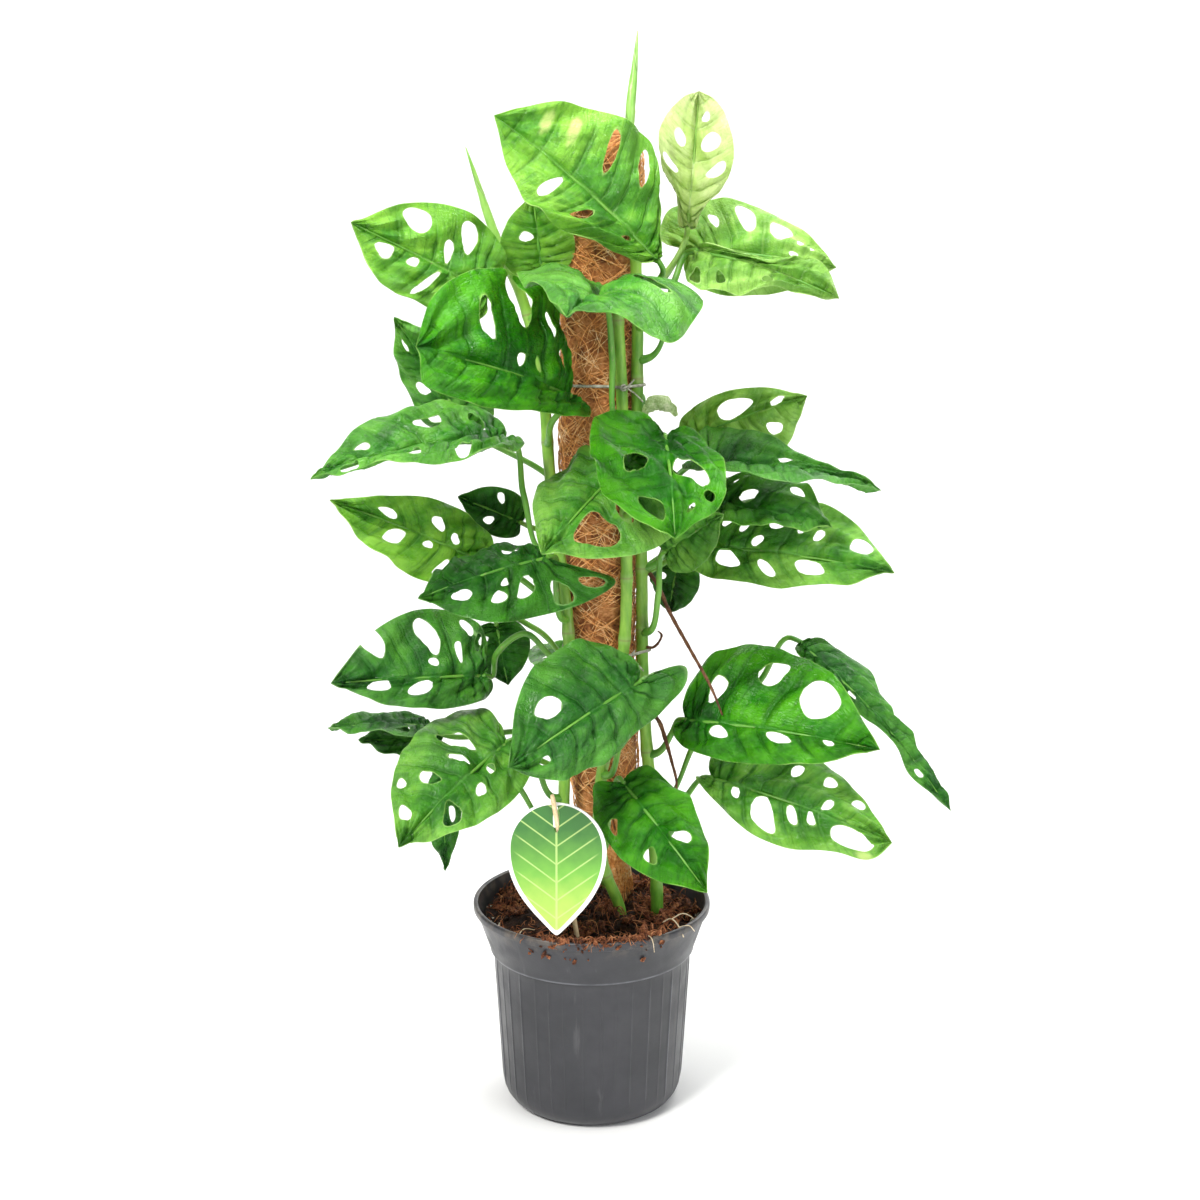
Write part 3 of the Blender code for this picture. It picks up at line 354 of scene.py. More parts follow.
def newMaterial(name, roughness, specular):
    made = bpy.data.materials.new(name)
    made.use_nodes = True
    tree = made.node_tree
    shader = tree.nodes["Principled BSDF"]
    shader.inputs["Roughness"].default_value = roughness
    shader.inputs["Specular IOR Level"].default_value = specular
    return made, tree, shader


def feed(tree, shader, **links):
    for key, source in links.items():
        tree.links.new(source, shader.inputs[key.replace("_", " ")])


def newGroup(name, inputs, outputs):
    group = bpy.data.node_groups.new(name, "ShaderNodeTree")
    for label, kind, default in inputs:
        made = group.interface.new_socket(label, in_out="INPUT", socket_type="NodeSocket" + kind)
        if default is not None:
            made.default_value = default
    for label, kind in outputs:
        group.interface.new_socket(label, in_out="OUTPUT", socket_type="NodeSocket" + kind)
    return group, group.nodes.new("NodeGroupInput"), group.nodes.new("NodeGroupOutput")


def placeGroup(tree, group, values):
    made = tree.nodes.new("ShaderNodeGroup")
    made.node_tree = group
    for key, value in values.items():
        if isinstance(value, bpy.types.NodeSocket):
            tree.links.new(value, made.inputs[key])
        else:
            made.inputs[key].default_value = value
    return made.outputs


# shared effects
def buildMottle():  # two sizes of soft patches, from 0 to 1
    group, take, give = newGroup("mottle", [("Vector", "Vector", None), ("Scale", "Float", 20.0),
                                            ("Fine", "Float", 4.0), ("Share", "Float", 0.4)],
                                 [("Value", "Float")])
    coarse = noiseAt(group, take.outputs["Vector"], take.outputs["Scale"], 3.0, 0.55, 0.3)
    fineScale = times(group, take.outputs["Scale"], take.outputs["Fine"])
    fine = noiseAt(group, take.outputs["Vector"], fineScale, 3.0, 0.6)
    both = addNode(group, "ShaderNodeMix", {0: take.outputs["Share"], 2: coarse, 3: fine}).outputs[0]
    group.links.new(remap(group, both, 0.3, 0.7), give.inputs["Value"])
    return group


leafOutputs = ("Midrib", "Vein", "Streak", "Edge", "Outer", "GrooveShade", "Height")


def buildLeafPattern():  # the map runs from vein to vein one way, and from the midrib to the margin the other
    group, take, give = newGroup("leafPattern", [("Map", "Vector", None), ("Rim", "Float", 5.0),
                                                 ("Rim width", "Float", 0.55)],
                                 [(label, "Float") for label in leafOutputs])
    split = addNode(group, "ShaderNodeSeparateXYZ", {0: take.outputs["Map"]})
    lane, across = split.outputs[0], calc(group, "ABSOLUTE", split.outputs[1])
    fraction = calc(group, "FRACT", lane)
    near = calc(group, "MINIMUM", fraction, minus(group, 1.0, fraction))
    wobble = noiseAt(group, mapped(group, take.outputs["Map"], (3, 9, 1)), 1.0, 2.0)
    near = plus(group, near, times(group, minus(group, wobble, 0.5), 0.05))
    vein = remap(group, near, 0.012, 0.055, 1.0, 0.0)
    fade = remap(group, across, 0.62, 0.98, 1.0, 0.25)
    vein = times(group, vein, fade)
    # painted shade in the grooves beside the side veins, weaker towards the margin
    valley = times(group, remap(group, near, 0.01, 0.17, 1.0, 0.0),
                  remap(group, across, 0.35, 0.95, 1.0, 0.2))
    midrib = remap(group, across, 0.012, 0.045, 1.0, 0.0)
    streak = noiseAt(group, mapped(group, take.outputs["Map"], (7, 1.8, 1)), 1.0, 6.0, 0.66, 0.9)
    fine = noiseAt(group, mapped(group, take.outputs["Map"], (26, 6, 1)), 1.0, 3.0, 0.6, 0.5)
    net = remap(group, cellEdges(group, mapped(group, take.outputs["Map"], (5.5, 24, 1))), 0.0, 0.12)
    edge = calc(group, "DIVIDE", take.outputs["Rim"], take.outputs["Rim width"])
    edge = remap(group, edge, 0.0, 1.0, 1.0, 0.0)
    outer = remap(group, across, 0.1, 1.0)
    height = plus(group, times(group, streak, 0.9), times(group, net, 0.22))
    height = plus(group, height, times(group, fine, 0.30))
    height = minus(group, height, times(group, vein, 0.45))
    height = minus(group, height, times(group, midrib, 0.5))
    for label, value in zip(leafOutputs, (midrib, vein, streak, edge, outer, valley, height)):
        group.links.new(value, give.inputs[label])
    return group


mottle = buildMottle()
leafPattern = buildLeafPattern()


def patchesAt(tree, places, scale, fine, share):
    return placeGroup(tree, mottle, {"Vector": places, "Scale": scale, "Fine": fine, "Share": share})["Value"]


# leaf finishes: lit and shaded copies of one leaf material. A leaf's tone is partly its own colour and partly
# painted light and shade, lighter for leaves set in light and darker for leaves set in shade; young is the
# new leaf's own pale colour. The bright colour also serves as a painted sheen.
leafFinishes = {
    "green": dict(deep=(0.007, 0.080, 0.005), mid=(0.036, 0.235, 0.012), bright=(0.150, 0.45, 0.045),
                  vein=(0.060, 0.27, 0.03), margin=(0.30, 0.58, 0.12), glow=(0.20, 0.66, 0.02),
                  through=0.18, gloss=0.4),
    "lit": dict(deep=(0.014, 0.120, 0.008), mid=(0.070, 0.320, 0.020), bright=(0.25, 0.56, 0.07),
                vein=(0.12, 0.38, 0.06), margin=(0.38, 0.66, 0.16), glow=(0.28, 0.72, 0.03),
                through=0.20, gloss=0.44),
    "rich": dict(deep=(0.004, 0.055, 0.002), mid=(0.015, 0.170, 0.003), bright=(0.080, 0.37, 0.008),
                 vein=(0.04, 0.23, 0.02), margin=(0.32, 0.60, 0.12), glow=(0.14, 0.58, 0.01),
                 through=0.16, gloss=0.24),
    "shaded": dict(deep=(0.003, 0.036, 0.003), mid=(0.012, 0.110, 0.006), bright=(0.055, 0.25, 0.016),
                   vein=(0.05, 0.20, 0.03), margin=(0.24, 0.48, 0.14), glow=(0.10, 0.46, 0.02),
                   through=0.13, gloss=0.24),
    "deep": dict(deep=(0.005, 0.056, 0.006), mid=(0.022, 0.165, 0.012), bright=(0.095, 0.34, 0.032),
                 vein=(0.045, 0.21, 0.03), margin=(0.24, 0.48, 0.14), glow=(0.10, 0.46, 0.02),
                 through=0.13, gloss=0.38),
    "fresh": dict(deep=(0.024, 0.160, 0.010), mid=(0.090, 0.36, 0.020), bright=(0.29, 0.62, 0.06),
                  vein=(0.20, 0.50, 0.08), margin=(0.48, 0.74, 0.20), glow=(0.36, 0.82, 0.03),
                  through=0.24, gloss=0.38),
    "light": dict(deep=(0.065, 0.24, 0.020), mid=(0.175, 0.44, 0.045), bright=(0.42, 0.72, 0.15),
                  vein=(0.34, 0.60, 0.14), margin=(0.56, 0.78, 0.28), glow=(0.46, 0.84, 0.06),
                  through=0.26, gloss=0.44),
    "young": dict(deep=(0.40, 0.60, 0.13), mid=(0.58, 0.78, 0.23), bright=(0.77, 0.91, 0.42),
                  vein=(0.76, 0.90, 0.46), margin=(0.80, 0.91, 0.52), glow=(0.72, 0.92, 0.26),
                  through=0.32, gloss=0.36),
}


def letThrough(tree, shader, colour, share):  # part of the light goes through the blade
    through = addNode(tree, "ShaderNodeBsdfTranslucent", {"Color": colour})
    both = addNode(tree, "ShaderNodeMixShader", {0: share, 1: shader.outputs[0], 2: through.outputs[0]})
    tree.links.new(both.outputs[0], tree.nodes["Material Output"].inputs["Surface"])


def leafTopMaterial(tone):
    finish = leafFinishes[tone]
    made, tree, shader = newMaterial("leafTop_" + tone, 0.32, finish["gloss"])
    pattern = placeGroup(tree, leafPattern, {"Map": ownMap(tree), "Rim": carried(tree, "rim")})
    places = objectPlaces(tree)
    patches = patchesAt(tree, places, 26.0, 3.5, 0.35)
    colour = ramp(tree, patches, (0.0, finish["deep"]), (0.45, finish["mid"]), (1.0, finish["bright"]))
    outer = times(tree, pattern["Outer"], remap(tree, patches, 0.1, 0.9, 0.25, 0.75))
    colour = mixed(tree, outer, colour, rgb(finish["bright"]))
    # painted shade: the deep colour laid in the vein grooves, broken into patches
    fading = remap(tree, noiseAt(tree, places, 38.0, 2.0), 0.36, 0.62, 0.15, 0.75)
    colour = mixed(tree, times(tree, pattern["GrooveShade"], fading), colour, rgb(finish["deep"]))
    # painted shade and painted highlight on the streak relief: the deep colour where the streaks sink, the
    # bright colour (light) where they rise
    streakShade = remap(tree, pattern["Streak"], 0.30, 0.52, 0.65, 0.0)
    colour = mixed(tree, streakShade, colour, rgb(finish["deep"]))
    light = remap(tree, pattern["Streak"], 0.56, 0.74, 0.0, 0.45)
    colour = mixed(tree, light, colour, rgb(finish["bright"]))
    colour = mixed(tree, times(tree, pattern["Vein"], 0.45), colour, rgb(finish["vein"]))
    colour = mixed(tree, times(tree, pattern["Midrib"], 0.7), colour, rgb(finish["vein"]))
    edgeShare = remap(tree, noiseAt(tree, places, 55.0, 2.0), 0.35, 0.62, 0.15, 0.80)
    colour = mixed(tree, times(tree, pattern["Edge"], edgeShare), colour, rgb(finish["margin"]))
    pale = times(tree, carried(tree, "pale"), 0.85)
    colour = mixed(tree, pale, colour, rgb((0.62, 0.78, 0.24)))
    rough = remap(tree, noiseAt(tree, places, 70.0, 4.0), 0.32, 0.68, 0.15, 0.38)
    crinkle = times(tree, noiseAt(tree, places, 130.0, 3.0), 0.8)
    crinkle = plus(tree, pattern["Height"], crinkle)
    feed(tree, shader, Base_Color=colour, Roughness=rough, Normal=raised(tree, crinkle, 0.0016, 0.75))
    letThrough(tree, shader, mixed(tree, 0.5, colour, rgb(finish["glow"])), finish["through"])
    return made


def leafUnderMaterial(tone):
    finish = leafFinishes[tone]
    soft = tuple(0.45 * a + 0.55 * b for a, b in zip(finish["bright"], (0.26, 0.46, 0.16)))
    dull = tuple(0.6 * a + 0.4 * b for a, b in zip(finish["mid"], (0.16, 0.34, 0.10)))
    made, tree, shader = newMaterial("leafUnder_" + tone, 0.5, 0.3)
    pattern = placeGroup(tree, leafPattern, {"Map": ownMap(tree), "Rim": carried(tree, "rim")})
    places = objectPlaces(tree)
    patches = patchesAt(tree, places, 30.0, 4.0, 0.4)
    colour = mixed(tree, patches, rgb(dull), rgb(soft))
    colour = mixed(tree, times(tree, pattern["Vein"], 0.6), colour, rgb((0.34, 0.54, 0.20)))
    colour = mixed(tree, times(tree, pattern["Edge"], 0.8), colour, rgb(finish["margin"]))
    height = minus(tree, 1.0, pattern["Height"])
    feed(tree, shader, Base_Color=colour, Normal=raised(tree, height, 0.0010, 0.7))
    letThrough(tree, shader, rgb(finish["glow"]), finish["through"])
    return made


def stalkMaterial(name, low, high, scar):
    made, tree, shader = newMaterial(name, 0.38, 0.5)
    own, places = ownMap(tree), objectPlaces(tree)
    patches = patchesAt(tree, mapped(tree, places, (1, 1, 0.35)), 60.0, 4.0, 0.35)
    colour = mixed(tree, patches, rgb(low), rgb(high))
    lines = noiseAt(tree, mapped(tree, own, (34, 0.05, 1)), 1.0, 2.0)
    colour = mixed(tree, remap(tree, lines, 0.45, 0.7, 0.0, 0.4), colour, rgb(high))
    specks = remap(tree, noiseAt(tree, places, 420.0, 1.0), 0.66, 0.74, 0.0, 0.6)
    colour = mixed(tree, specks, colour, rgb(scar))
    height = plus(tree, times(tree, lines, 0.6), noiseAt(tree, places, 300.0, 2.0))
    feed(tree, shader, Base_Color=colour, Normal=raised(tree, height, 0.0004, 0.6))
    return made


leafTops = {tone: leafTopMaterial(tone) for tone in leafFinishes}
leafUnders = {tone: leafUnderMaterial(tone) for tone in leafFinishes}
stalkGreen = stalkMaterial("stalkGreen", (0.055, 0.23, 0.018), (0.17, 0.42, 0.05), (0.30, 0.30, 0.12))
stalkYoung = stalkMaterial("stalkYoung", (0.20, 0.42, 0.06), (0.42, 0.64, 0.16), (0.45, 0.50, 0.20))


# stems, as the frame has them (mm)
stems = {
    "stem_right": [(47, -8, 112, 4.0), (47, -8, 143, 4.4), (45, -10, 190, 4.4), (41, -10, 244, 4.3),
                   (36.5, -6, 300, 4.2), (35.5, -4, 341, 4.2), (34.5, -6, 405, 4.1), (32, -9.5, 470, 4.0),
                   (31, -12, 521, 4.0), (31, -12.5, 566, 3.9), (28.5, -16, 630, 3.7), (25, -17.5, 690, 3.4)],
    "stem_front": [(23, -7, 112, 3.8), (21, -8, 143, 4.0), (10, -14, 175, 4.0), (6, -18, 200, 4.0),
                   (6, -20.5, 240, 4.0), (11, -21.8, 275, 4.0), (20, -20, 320, 4.0), (24, -17.8, 370, 4.0),
                   (24, -18.6, 405, 4.0), (22.5, -20, 470, 3.9), (20, -21, 530, 3.8), (17, -22, 590, 3.4)],
    "stem_left": [(-24, -12, 112, 4.0), (-22, -13, 143, 4.2), (-20, -16, 200, 4.2), (-19, -16, 245, 4.1),
                  (-17, -14.5, 300, 4.1), (-15, -16, 336, 4.1), (-21, -10.5, 400, 4.0), (-28, -3, 455, 4.0),
                  (-31, 1, 503, 3.9), (-37, 1, 545, 3.8), (-47, 0, 582, 3.6), (-60, 2, 611, 3.3)],
    "stem_back": [(12, 46, 112, 3.8), (11, 44, 143, 4.0), (10, 39, 222, 4.0), (7, 38, 300, 4.0),
                  (6, 39, 400, 4.0), (6, 40, 480, 3.9), (7, 40, 600, 3.6), (10, 38, 655, 3.2)],
}
routeRows = 15  # of the coarse routes that stalks and ties are measured from


def stemRows(name):
    return smoothRoute(stems[name], routeRows)


def rowAt(rows, height):
    i = int(np.clip(np.searchsorted(rows[:, 2], height) - 1, 0, len(rows) - 2))
    share = (height - rows[i, 2]) / (rows[i + 1, 2] - rows[i, 2])
    return rows[i] * (1 - share) + rows[i + 1] * share, unit(rows[i + 1, :3] - rows[i, :3])


stemShape = dict(rings=220, sides=20, nodeSpacing=44.0, nodeSwell=0.13, nodeLength=3.4, scarDepth=0.05,
                 scarPlace=0.9, scarWidth=0.5)


def stemMaterial():
    made, tree, shader = newMaterial("stemGreen", 0.42, 0.5)
    own, places = ownMap(tree), objectPlaces(tree)
    along = addNode(tree, "ShaderNodeSeparateXYZ", {0: own}).outputs[1]
    patches = patchesAt(tree, mapped(tree, places, (1, 1, 0.3)), 55.0, 4.0, 0.4)
    colour = mixed(tree, patches, rgb((0.085, 0.27, 0.02)), rgb((0.30, 0.55, 0.07)))
    part = calc(tree, "FRACT", calc(tree, "DIVIDE", along, stemShape["nodeSpacing"]))
    near = calc(tree, "ABSOLUTE", minus(tree, part, 0.5))
    band = remap(tree, near, 0.03, 0.09, 1.0, 0.0)
    colour = mixed(tree, times(tree, band, 0.45), colour, rgb((0.28, 0.46, 0.12)))
    scar = remap(tree, near, 0.006, 0.022, 1.0, 0.0)
    colour = mixed(tree, times(tree, scar, 0.5), colour, rgb((0.24, 0.19, 0.08)))
    lines = noiseAt(tree, mapped(tree, own, (26, 0.06, 1)), 1.0, 2.0)
    old = remap(tree, noiseAt(tree, places, 45.0, 4.0, 0.6), 0.56, 0.70, 0.0, 0.45)
    colour = mixed(tree, old, colour, rgb((0.22, 0.24, 0.08)))
    height = plus(tree, lines, noiseAt(tree, places, 260.0, 3.0))
    feed(tree, shader, Base_Color=colour, Normal=raised(tree, height, 0.0005, 0.6))
    return made


stemGreen = stemMaterial()


def makeStem(name):
    rows = smoothRoute(stemRows(name), stemShape["rings"])
    spacing = stemShape["nodeSpacing"]
    rng = np.random.default_rng(len(name) * 7 + 3)
    tilt = rng.uniform(0, 2 * math.pi)

    def barkShape(turn, travelled):
        node = ((travelled / spacing) % 1.0 - 0.5) * spacing
        swell = stemShape["nodeSwell"] * np.exp(-(node / stemShape["nodeLength"])**2)
        scar = stemShape["scarDepth"] * np.exp(-((node - stemShape["scarPlace"]) / stemShape["scarWidth"])**2)
        ribs = 0.02 * np.cos(turn * 5 + tilt) + 0.015 * np.cos(turn * 9 - travelled * 0.02)
        return 1.0 + swell - scar + ribs + 0.02 * np.sin(travelled * 0.35 + tilt)

    piece = makeTube(name + "_bark", rows, stemShape["sides"], barkShape)
    complete(piece, stemGreen, 50, "stem", name)


for stemName in stems:
    makeStem(stemName)
print("stems done")


# leaves
marginRows = [  # place in the table, reach, out, start of the side vein
    (0.00, 0.000, 0.00, 0.000),
    (0.08, -0.050, 0.22, 0.012),
    (0.18, -0.028, 0.60, 0.035),
    (0.30, 0.110, 0.89, 0.090),
    (0.44, 0.320, 1.00, 0.210),
    (0.60, 0.560, 0.89, 0.410),
    (0.75, 0.765, 0.60, 0.630),
    (0.88, 0.912, 0.23, 0.840),
    (1.00, 1.000, 0.00, 1.000),
]

# A hole is its side, place along, start and end outwards, and breadth. Pairs are left and right.
# Closed windows, by number, are pale and haven't opened. A spot is side, along, outwards, size.
# Each leaf's tone picks a lit or shaded copy of the leaf material: painted light and shade as well as the
# leaf's own colour.
leaves = {
    "leaf_crown_front": dict(
        base=(44, -48, 608), tip=(-60, -75, 700), face=(19, 21), left=33, right=58, fold=(10, 12),
        curl=(0, -10), tone="fresh", stem="stem_right", node=562, via=[(42, -30, 590)], closed=(5, 6),
        outline=([(0.03, 0.14), (0.09, 0.38), (0.23, 0.62), (0.41, 0.90),
                  (0.59, 1.16), (0.71, 1.06), (0.86, 0.60)],
                 [(0.03, 0.10), (0.11, 0.29), (0.23, 0.61), (0.35, 0.93),
                  (0.51, 0.91), (0.69, 0.75), (0.85, 0.46)]),
        holes=[(1, 0.63, 0.27, 0.85, 0.04), (1, 0.48, 0.43, 0.88, 0.05), (-1, 0.73, 0.17, 0.75, 0.04),
               (-1, 0.58, 0.28, 0.62, 0.04), (-1, 0.41, 0.10, 0.33, 0.04), (1, 0.85, 0.24, 0.78, 0.03),
               (1, 0.77, 0.29, 0.79, 0.03)]),
    "leaf_crown_young": dict(
        base=(64, -8, 627), tip=(70, -26, 715), face=(0, 5), left=25, right=25, arch=0.05, fold=(8, 8),
        tone="young", stem="stem_right", node=586, via=[(56, -7, 605)],
        outline=([(0.00, 0.22), (0.13, 0.28), (0.29, 0.44), (0.46, 0.76),
                  (0.63, 0.97), (0.80, 0.84), (0.95, 0.43)],
                 [(0.00, 0.22), (0.12, 0.30), (0.22, 0.49), (0.37, 0.86),
                  (0.57, 1.05), (0.78, 0.86), (0.94, 0.46)]),
        holes=[(-1, 0.74, 0.28, 0.66, 0.07), (-1, 0.57, 0.42, 0.86, 0.07), (1, 0.85, 0.20, 0.60, 0.04),
               (1, 0.735, 0.16, 0.72, 0.08), (1, 0.58, 0.36, 0.82, 0.08)]),
    "leaf_crown_right_back": dict(
        base=(69, 2, 612), tip=(162, -22, 602), face=(10, 25), left=36, right=30, fold=(6, 0),
        curl=(-10, -10), tone="light", stem="stem_back", node=575, via=[(48, 26, 590)],
        outline=([(-0.22, 0.10), (-0.29, 0.38), (-0.25, 0.92), (-0.03, 1.00),
                  (0.30, 1.05), (0.69, 0.64), (0.90, 0.24)], None),
        holes=[(-1, 0.44, 0.45, 0.72, 0.05), (-1, 0.585, 0.40, 0.90, 0.07), (-1, 0.71, 0.38, 0.84, 0.07),
               (-1, 0.79, 0.50, 0.70, 0.03), (-1, 0.84, 0.55, 0.78, 0.02), (-1, 0.79, 0.06, 0.26, 0.04)]),
    "leaf_crown_right_front": dict(
        base=(70, -14, 613), tip=(160, -60, 585), face=(10, 35), left=18, right=32, fold=(30, -8),
        curl=(-20, 0), tone="light", stem="stem_right", node=540, via=[(55, -22, 593)],
        outline=([(0.00, 0.15), (0.09, 0.24), (0.24, 0.26), (0.40, 0.24),
                  (0.57, 0.42), (0.71, 0.92), (0.86, 0.78)],
                 [(-0.02, 0.41), (0.04, 0.75), (0.16, 0.91), (0.29, 0.77),
                  (0.46, 0.70), (0.62, 0.34), (0.83, 0.22)]),
        holes=[(1, 0.25, 0.50, 0.92, 0.12), (1, 0.44, 0.55, 0.80, 0.06), (1, 0.69, 0.33, 0.58, 0.05),
               (1, 0.75, 0.48, 0.70, 0.04)]),
    "leaf_crown_left": dict(
        base=(-69, -29, 586), tip=(-154, -52, 633), face=(-10, 25), left=29, right=40, fold=(6, 6),
        apical=(1.4, 1.0), tone="fresh", stem="stem_left", node=550, via=[(-52, -4, 570)],
        holes=[(1, 0.69, 0.42, 0.92, 0.11), (-1, 0.80, 0.12, 0.66, 0.07), (-1, 0.68, 0.08, 0.34, 0.05),
               (-1, 0.56, 0.12, 0.85, 0.04), (1, 0.54, 0.10, 0.48, 0.05), (1, 0.44, 0.38, 0.90, 0.09)]),
    "leaf_crown_inner": dict(
        base=(-33, -10, 600), tip=(-38, -20, 650), face=(0, 30), left=26, right=24, fold=(6, 6), tone="fresh",
        stem="stem_left", node=566, via=[(-34, -6, 592)],
        holes=[(-1, 0.62, 0.10, 0.55, 0.08)]),
    "leaf_upper_left": dict(
        base=(-14, -40, 520), tip=(-107, -128, 562), face=(-30, 20), left=38, right=70, arch=0.08,
        fold=(40, 0), curl=(-20, -14), tone="rich", stem="stem_left", node=482, via=[(-26, -26, 500)],
        outline=([(-0.20, 0.08), (-0.15, 0.30), (0.03, 0.48), (0.27, 0.60),
                  (0.58, 0.80), (0.84, 0.88), (0.98, 0.62)],
                 [(0.02, 0.31), (0.04, 0.65), (0.09, 0.88), (0.21, 1.02),
                  (0.44, 1.01), (0.73, 0.84), (0.93, 0.51)]),
        holes=[(1, 0.74, 0.25, 0.70, 0.05), (1, 0.58, 0.45, 0.95, 0.10), (1, 0.42, 0.45, 0.70, 0.04),
               (1, 0.60, 0.08, 0.20, 0.04), (1, 0.50, 0.08, 0.22, 0.03), (1, 0.26, 0.60, 0.80, 0.04),
               (1, 0.30, 0.25, 0.45, 0.04)]),
    "leaf_pole_front": dict(
        base=(10, -52, 581), tip=(-14, -156, 583), face=(0, 80), left=66, right=52, arch=0.05, fold=(66, 66),
        curl=(-68, -48), droop=(34, 20), stem="stem_front", node=500, via=[(14, -33, 545)],
        outline=([(-0.14, 0.25), (-0.15, 0.48), (-0.10, 0.80), (0.25, 1.00),
                  (0.62, 0.95), (0.82, 0.66), (0.93, 0.30)],
                 [(-0.15, 0.35), (-0.20, 0.75), (-0.15, 0.95), (0.20, 1.05),
                  (0.50, 0.85), (0.72, 0.55), (0.88, 0.28)]),
        holes=[(-1, 0.50, 0.40, 0.75, 0.06), (-1, 0.35, 0.15, 0.40, 0.05)]),
    "leaf_upper_left_back": dict(
        base=(-84, 25, 487), tip=(-133, 5, 567), face=(-20, 20), left=24, right=28, arch=0.05,
        curl=(-10, -10), stem="stem_back", node=432, via=[(-40, 34, 460)],
        holes=[(-1, 0.83, 0.25, 0.60, 0.06), (-1, 0.60, 0.25, 0.65, 0.07), (-1, 0.40, 0.40, 0.80, 0.08)]),
    "leaf_mid_left_long": dict(
        base=(-58, -15, 487), tip=(-182, -75, 470), face=(0, 45), left=30, right=46, arch=0.08, fold=(50, 4),
        curl=(-20, -20), apical=(1.0, 0.8), stem="stem_left", node=404, via=[(-46, -12, 448)],
        holes=[(1, 0.53, 0.30, 0.62, 0.10), (1, 0.78, 0.35, 0.62, 0.04), (-1, 0.83, 0.50, 0.90, 0.05),
               (-1, 0.63, 0.50, 0.80, 0.04), (-1, 0.47, 0.40, 0.90, 0.06), (1, 0.32, 0.15, 0.55, 0.06)]),
    "leaf_mid_left_low": dict(
        base=(-77, 0, 400), tip=(-176, -30, 448), face=(-10, 30), left=30, right=27, arch=0.05, fold=(5, 5),
        apical=(1.0, 0.75), tone="fresh", stem="stem_left", node=372, via=[(-50, -4, 388)],
        holes=[(1, 0.74, 0.18, 0.62, 0.07), (-1, 0.69, 0.10, 0.62, 0.07), (1, 0.51, 0.25, 0.62, 0.06),
               (1, 0.42, 0.08, 0.36, 0.05), (-1, 0.55, 0.06, 0.24, 0.05), (-1, 0.42, 0.30, 0.75, 0.05),
               (-1, 0.34, 0.35, 0.60, 0.04)]),
    "leaf_mid_left_small": dict(
        base=(-50, 28, 421), tip=(-93, 20, 441), face=(-10, 20), left=16, right=18, arch=0.05, fold=(5, 5),
        tone="shaded", stem="stem_back", node=388, via=[(-22, 38, 408)],
        holes=[(1, 0.55, 0.40, 0.80, 0.08), (-1, 0.60, 0.30, 0.70, 0.10)]),
    "leaf_mid_left_shade": dict(
        base=(-29, -40, 411), tip=(-113, -85, 393), face=(0, 35), left=37, right=34, fold=(-10, -20),
        curl=(-10, -20), lobes=(0.5, 0), basal=(1.35, 1.0), tone="shaded", stem="stem_left", node=362,
        via=[(-24, -30, 396)],
        holes=[(-1, 0.78, 0.30, 0.62, 0.09), (-1, 0.60, 0.42, 0.68, 0.07), (-1, 0.57, 0.22, 0.36, 0.05),
               (-1, 0.45, 0.25, 0.62, 0.10), (-1, 0.30, 0.45, 0.90, 0.07), (-1, 0.20, 0.62, 0.90, 0.05),
               (1, 0.40, 0.30, 0.60, 0.08)]),
    "leaf_low_left_split": dict(
        base=(-75, 0, 317), tip=(-177, -45, 324), face=(-5, 25), left=23, right=48, arch=0.05, fold=(4, 4),
        tone="deep", stem="stem_left", node=330, via=[(-46, -10, 350), (-66, -4, 334)],
        holes=[(1, 0.52, 0.32, 0.86, 0.09), (1, 0.54, 0.16, 0.28, 0.05), (1, 0.30, 0.66, 0.90, 0.07),
               (1, 0.22, 0.50, 0.85, 0.06), (-1, 0.78, 0.08, 0.66, 0.09), (-1, 0.60, 0.08, 0.60, 0.10),
               (1, 0.74, 0.50, 1.30, 0.08), (1, 0.38, 0.20, 0.50, 0.05)]),
    "leaf_low_left_dark": dict(
        base=(-68, 34, 345), tip=(-60, 28, 302), face=(-10, 10), left=22, right=22, arch=0.05,
        curl=(-10, -10), tone="shaded", stem="stem_back", node=300, via=[(-40, 42, 340)],
        holes=[(1, 0.40, 0.30, 0.70, 0.10)]),
    "leaf_low_left_edge": dict(
        base=(-115, 10, 278), tip=(-182, -30, 288), face=(0, 78), left=19, right=19, arch=0.04, tone="deep",
        stem="stem_back", node=240, via=[(-40, 34, 264)],
        holes=[(-1, 0.50, 0.40, 0.80, 0.10)]),
    "leaf_low_left_small": dict(
        base=(-109, 20, 262), tip=(-165, 0, 270), face=(0, 50), left=16, right=16, arch=0.04, tone="deep",
        stem="stem_back", node=222, via=[(-40, 36, 244)],
        holes=[(1, 0.45, 0.30, 0.75, 0.16)]),
    "leaf_low_left": dict(
        base=(-58, -30, 278), tip=(-127, -110, 230), face=(-10, 35), left=34, right=50, fold=(0, 4),
        curl=(-10, -10), lobes=(0, 0.1), basal=(1.0, 1.35), tone="lit", stem="stem_left", node=232,
        via=[(-40, -24, 262)],
        holes=[(1, 0.42, 0.18, 0.74, 0.08), (1, 0.53, 0.08, 0.40, 0.04), (1, 0.67, 0.24, 0.60, 0.06),
               (1, 0.70, 0.78, 0.92, 0.05), (1, 0.84, 0.45, 0.85, 0.06), (-1, 0.73, 0.22, 0.84, 0.08),
               (-1, 0.57, 0.32, 0.58, 0.05), (-1, 0.47, 0.14, 0.34, 0.05)]),
    "leaf_low_front": dict(
        base=(33, -60, 330), tip=(-53, -125, 290), face=(-5, 20), left=27, right=50, curl=(-20, -10),
        tone="deep", stem="stem_front", node=252, via=[(20, -38, 280), (31, -48, 308)],
        outline=([(-0.22, 0.02), (-0.34, 0.36), (-0.16, 0.92), (0.26, 1.20),
                  (0.54, 1.24), (0.74, 1.04), (0.90, 0.60)], None),
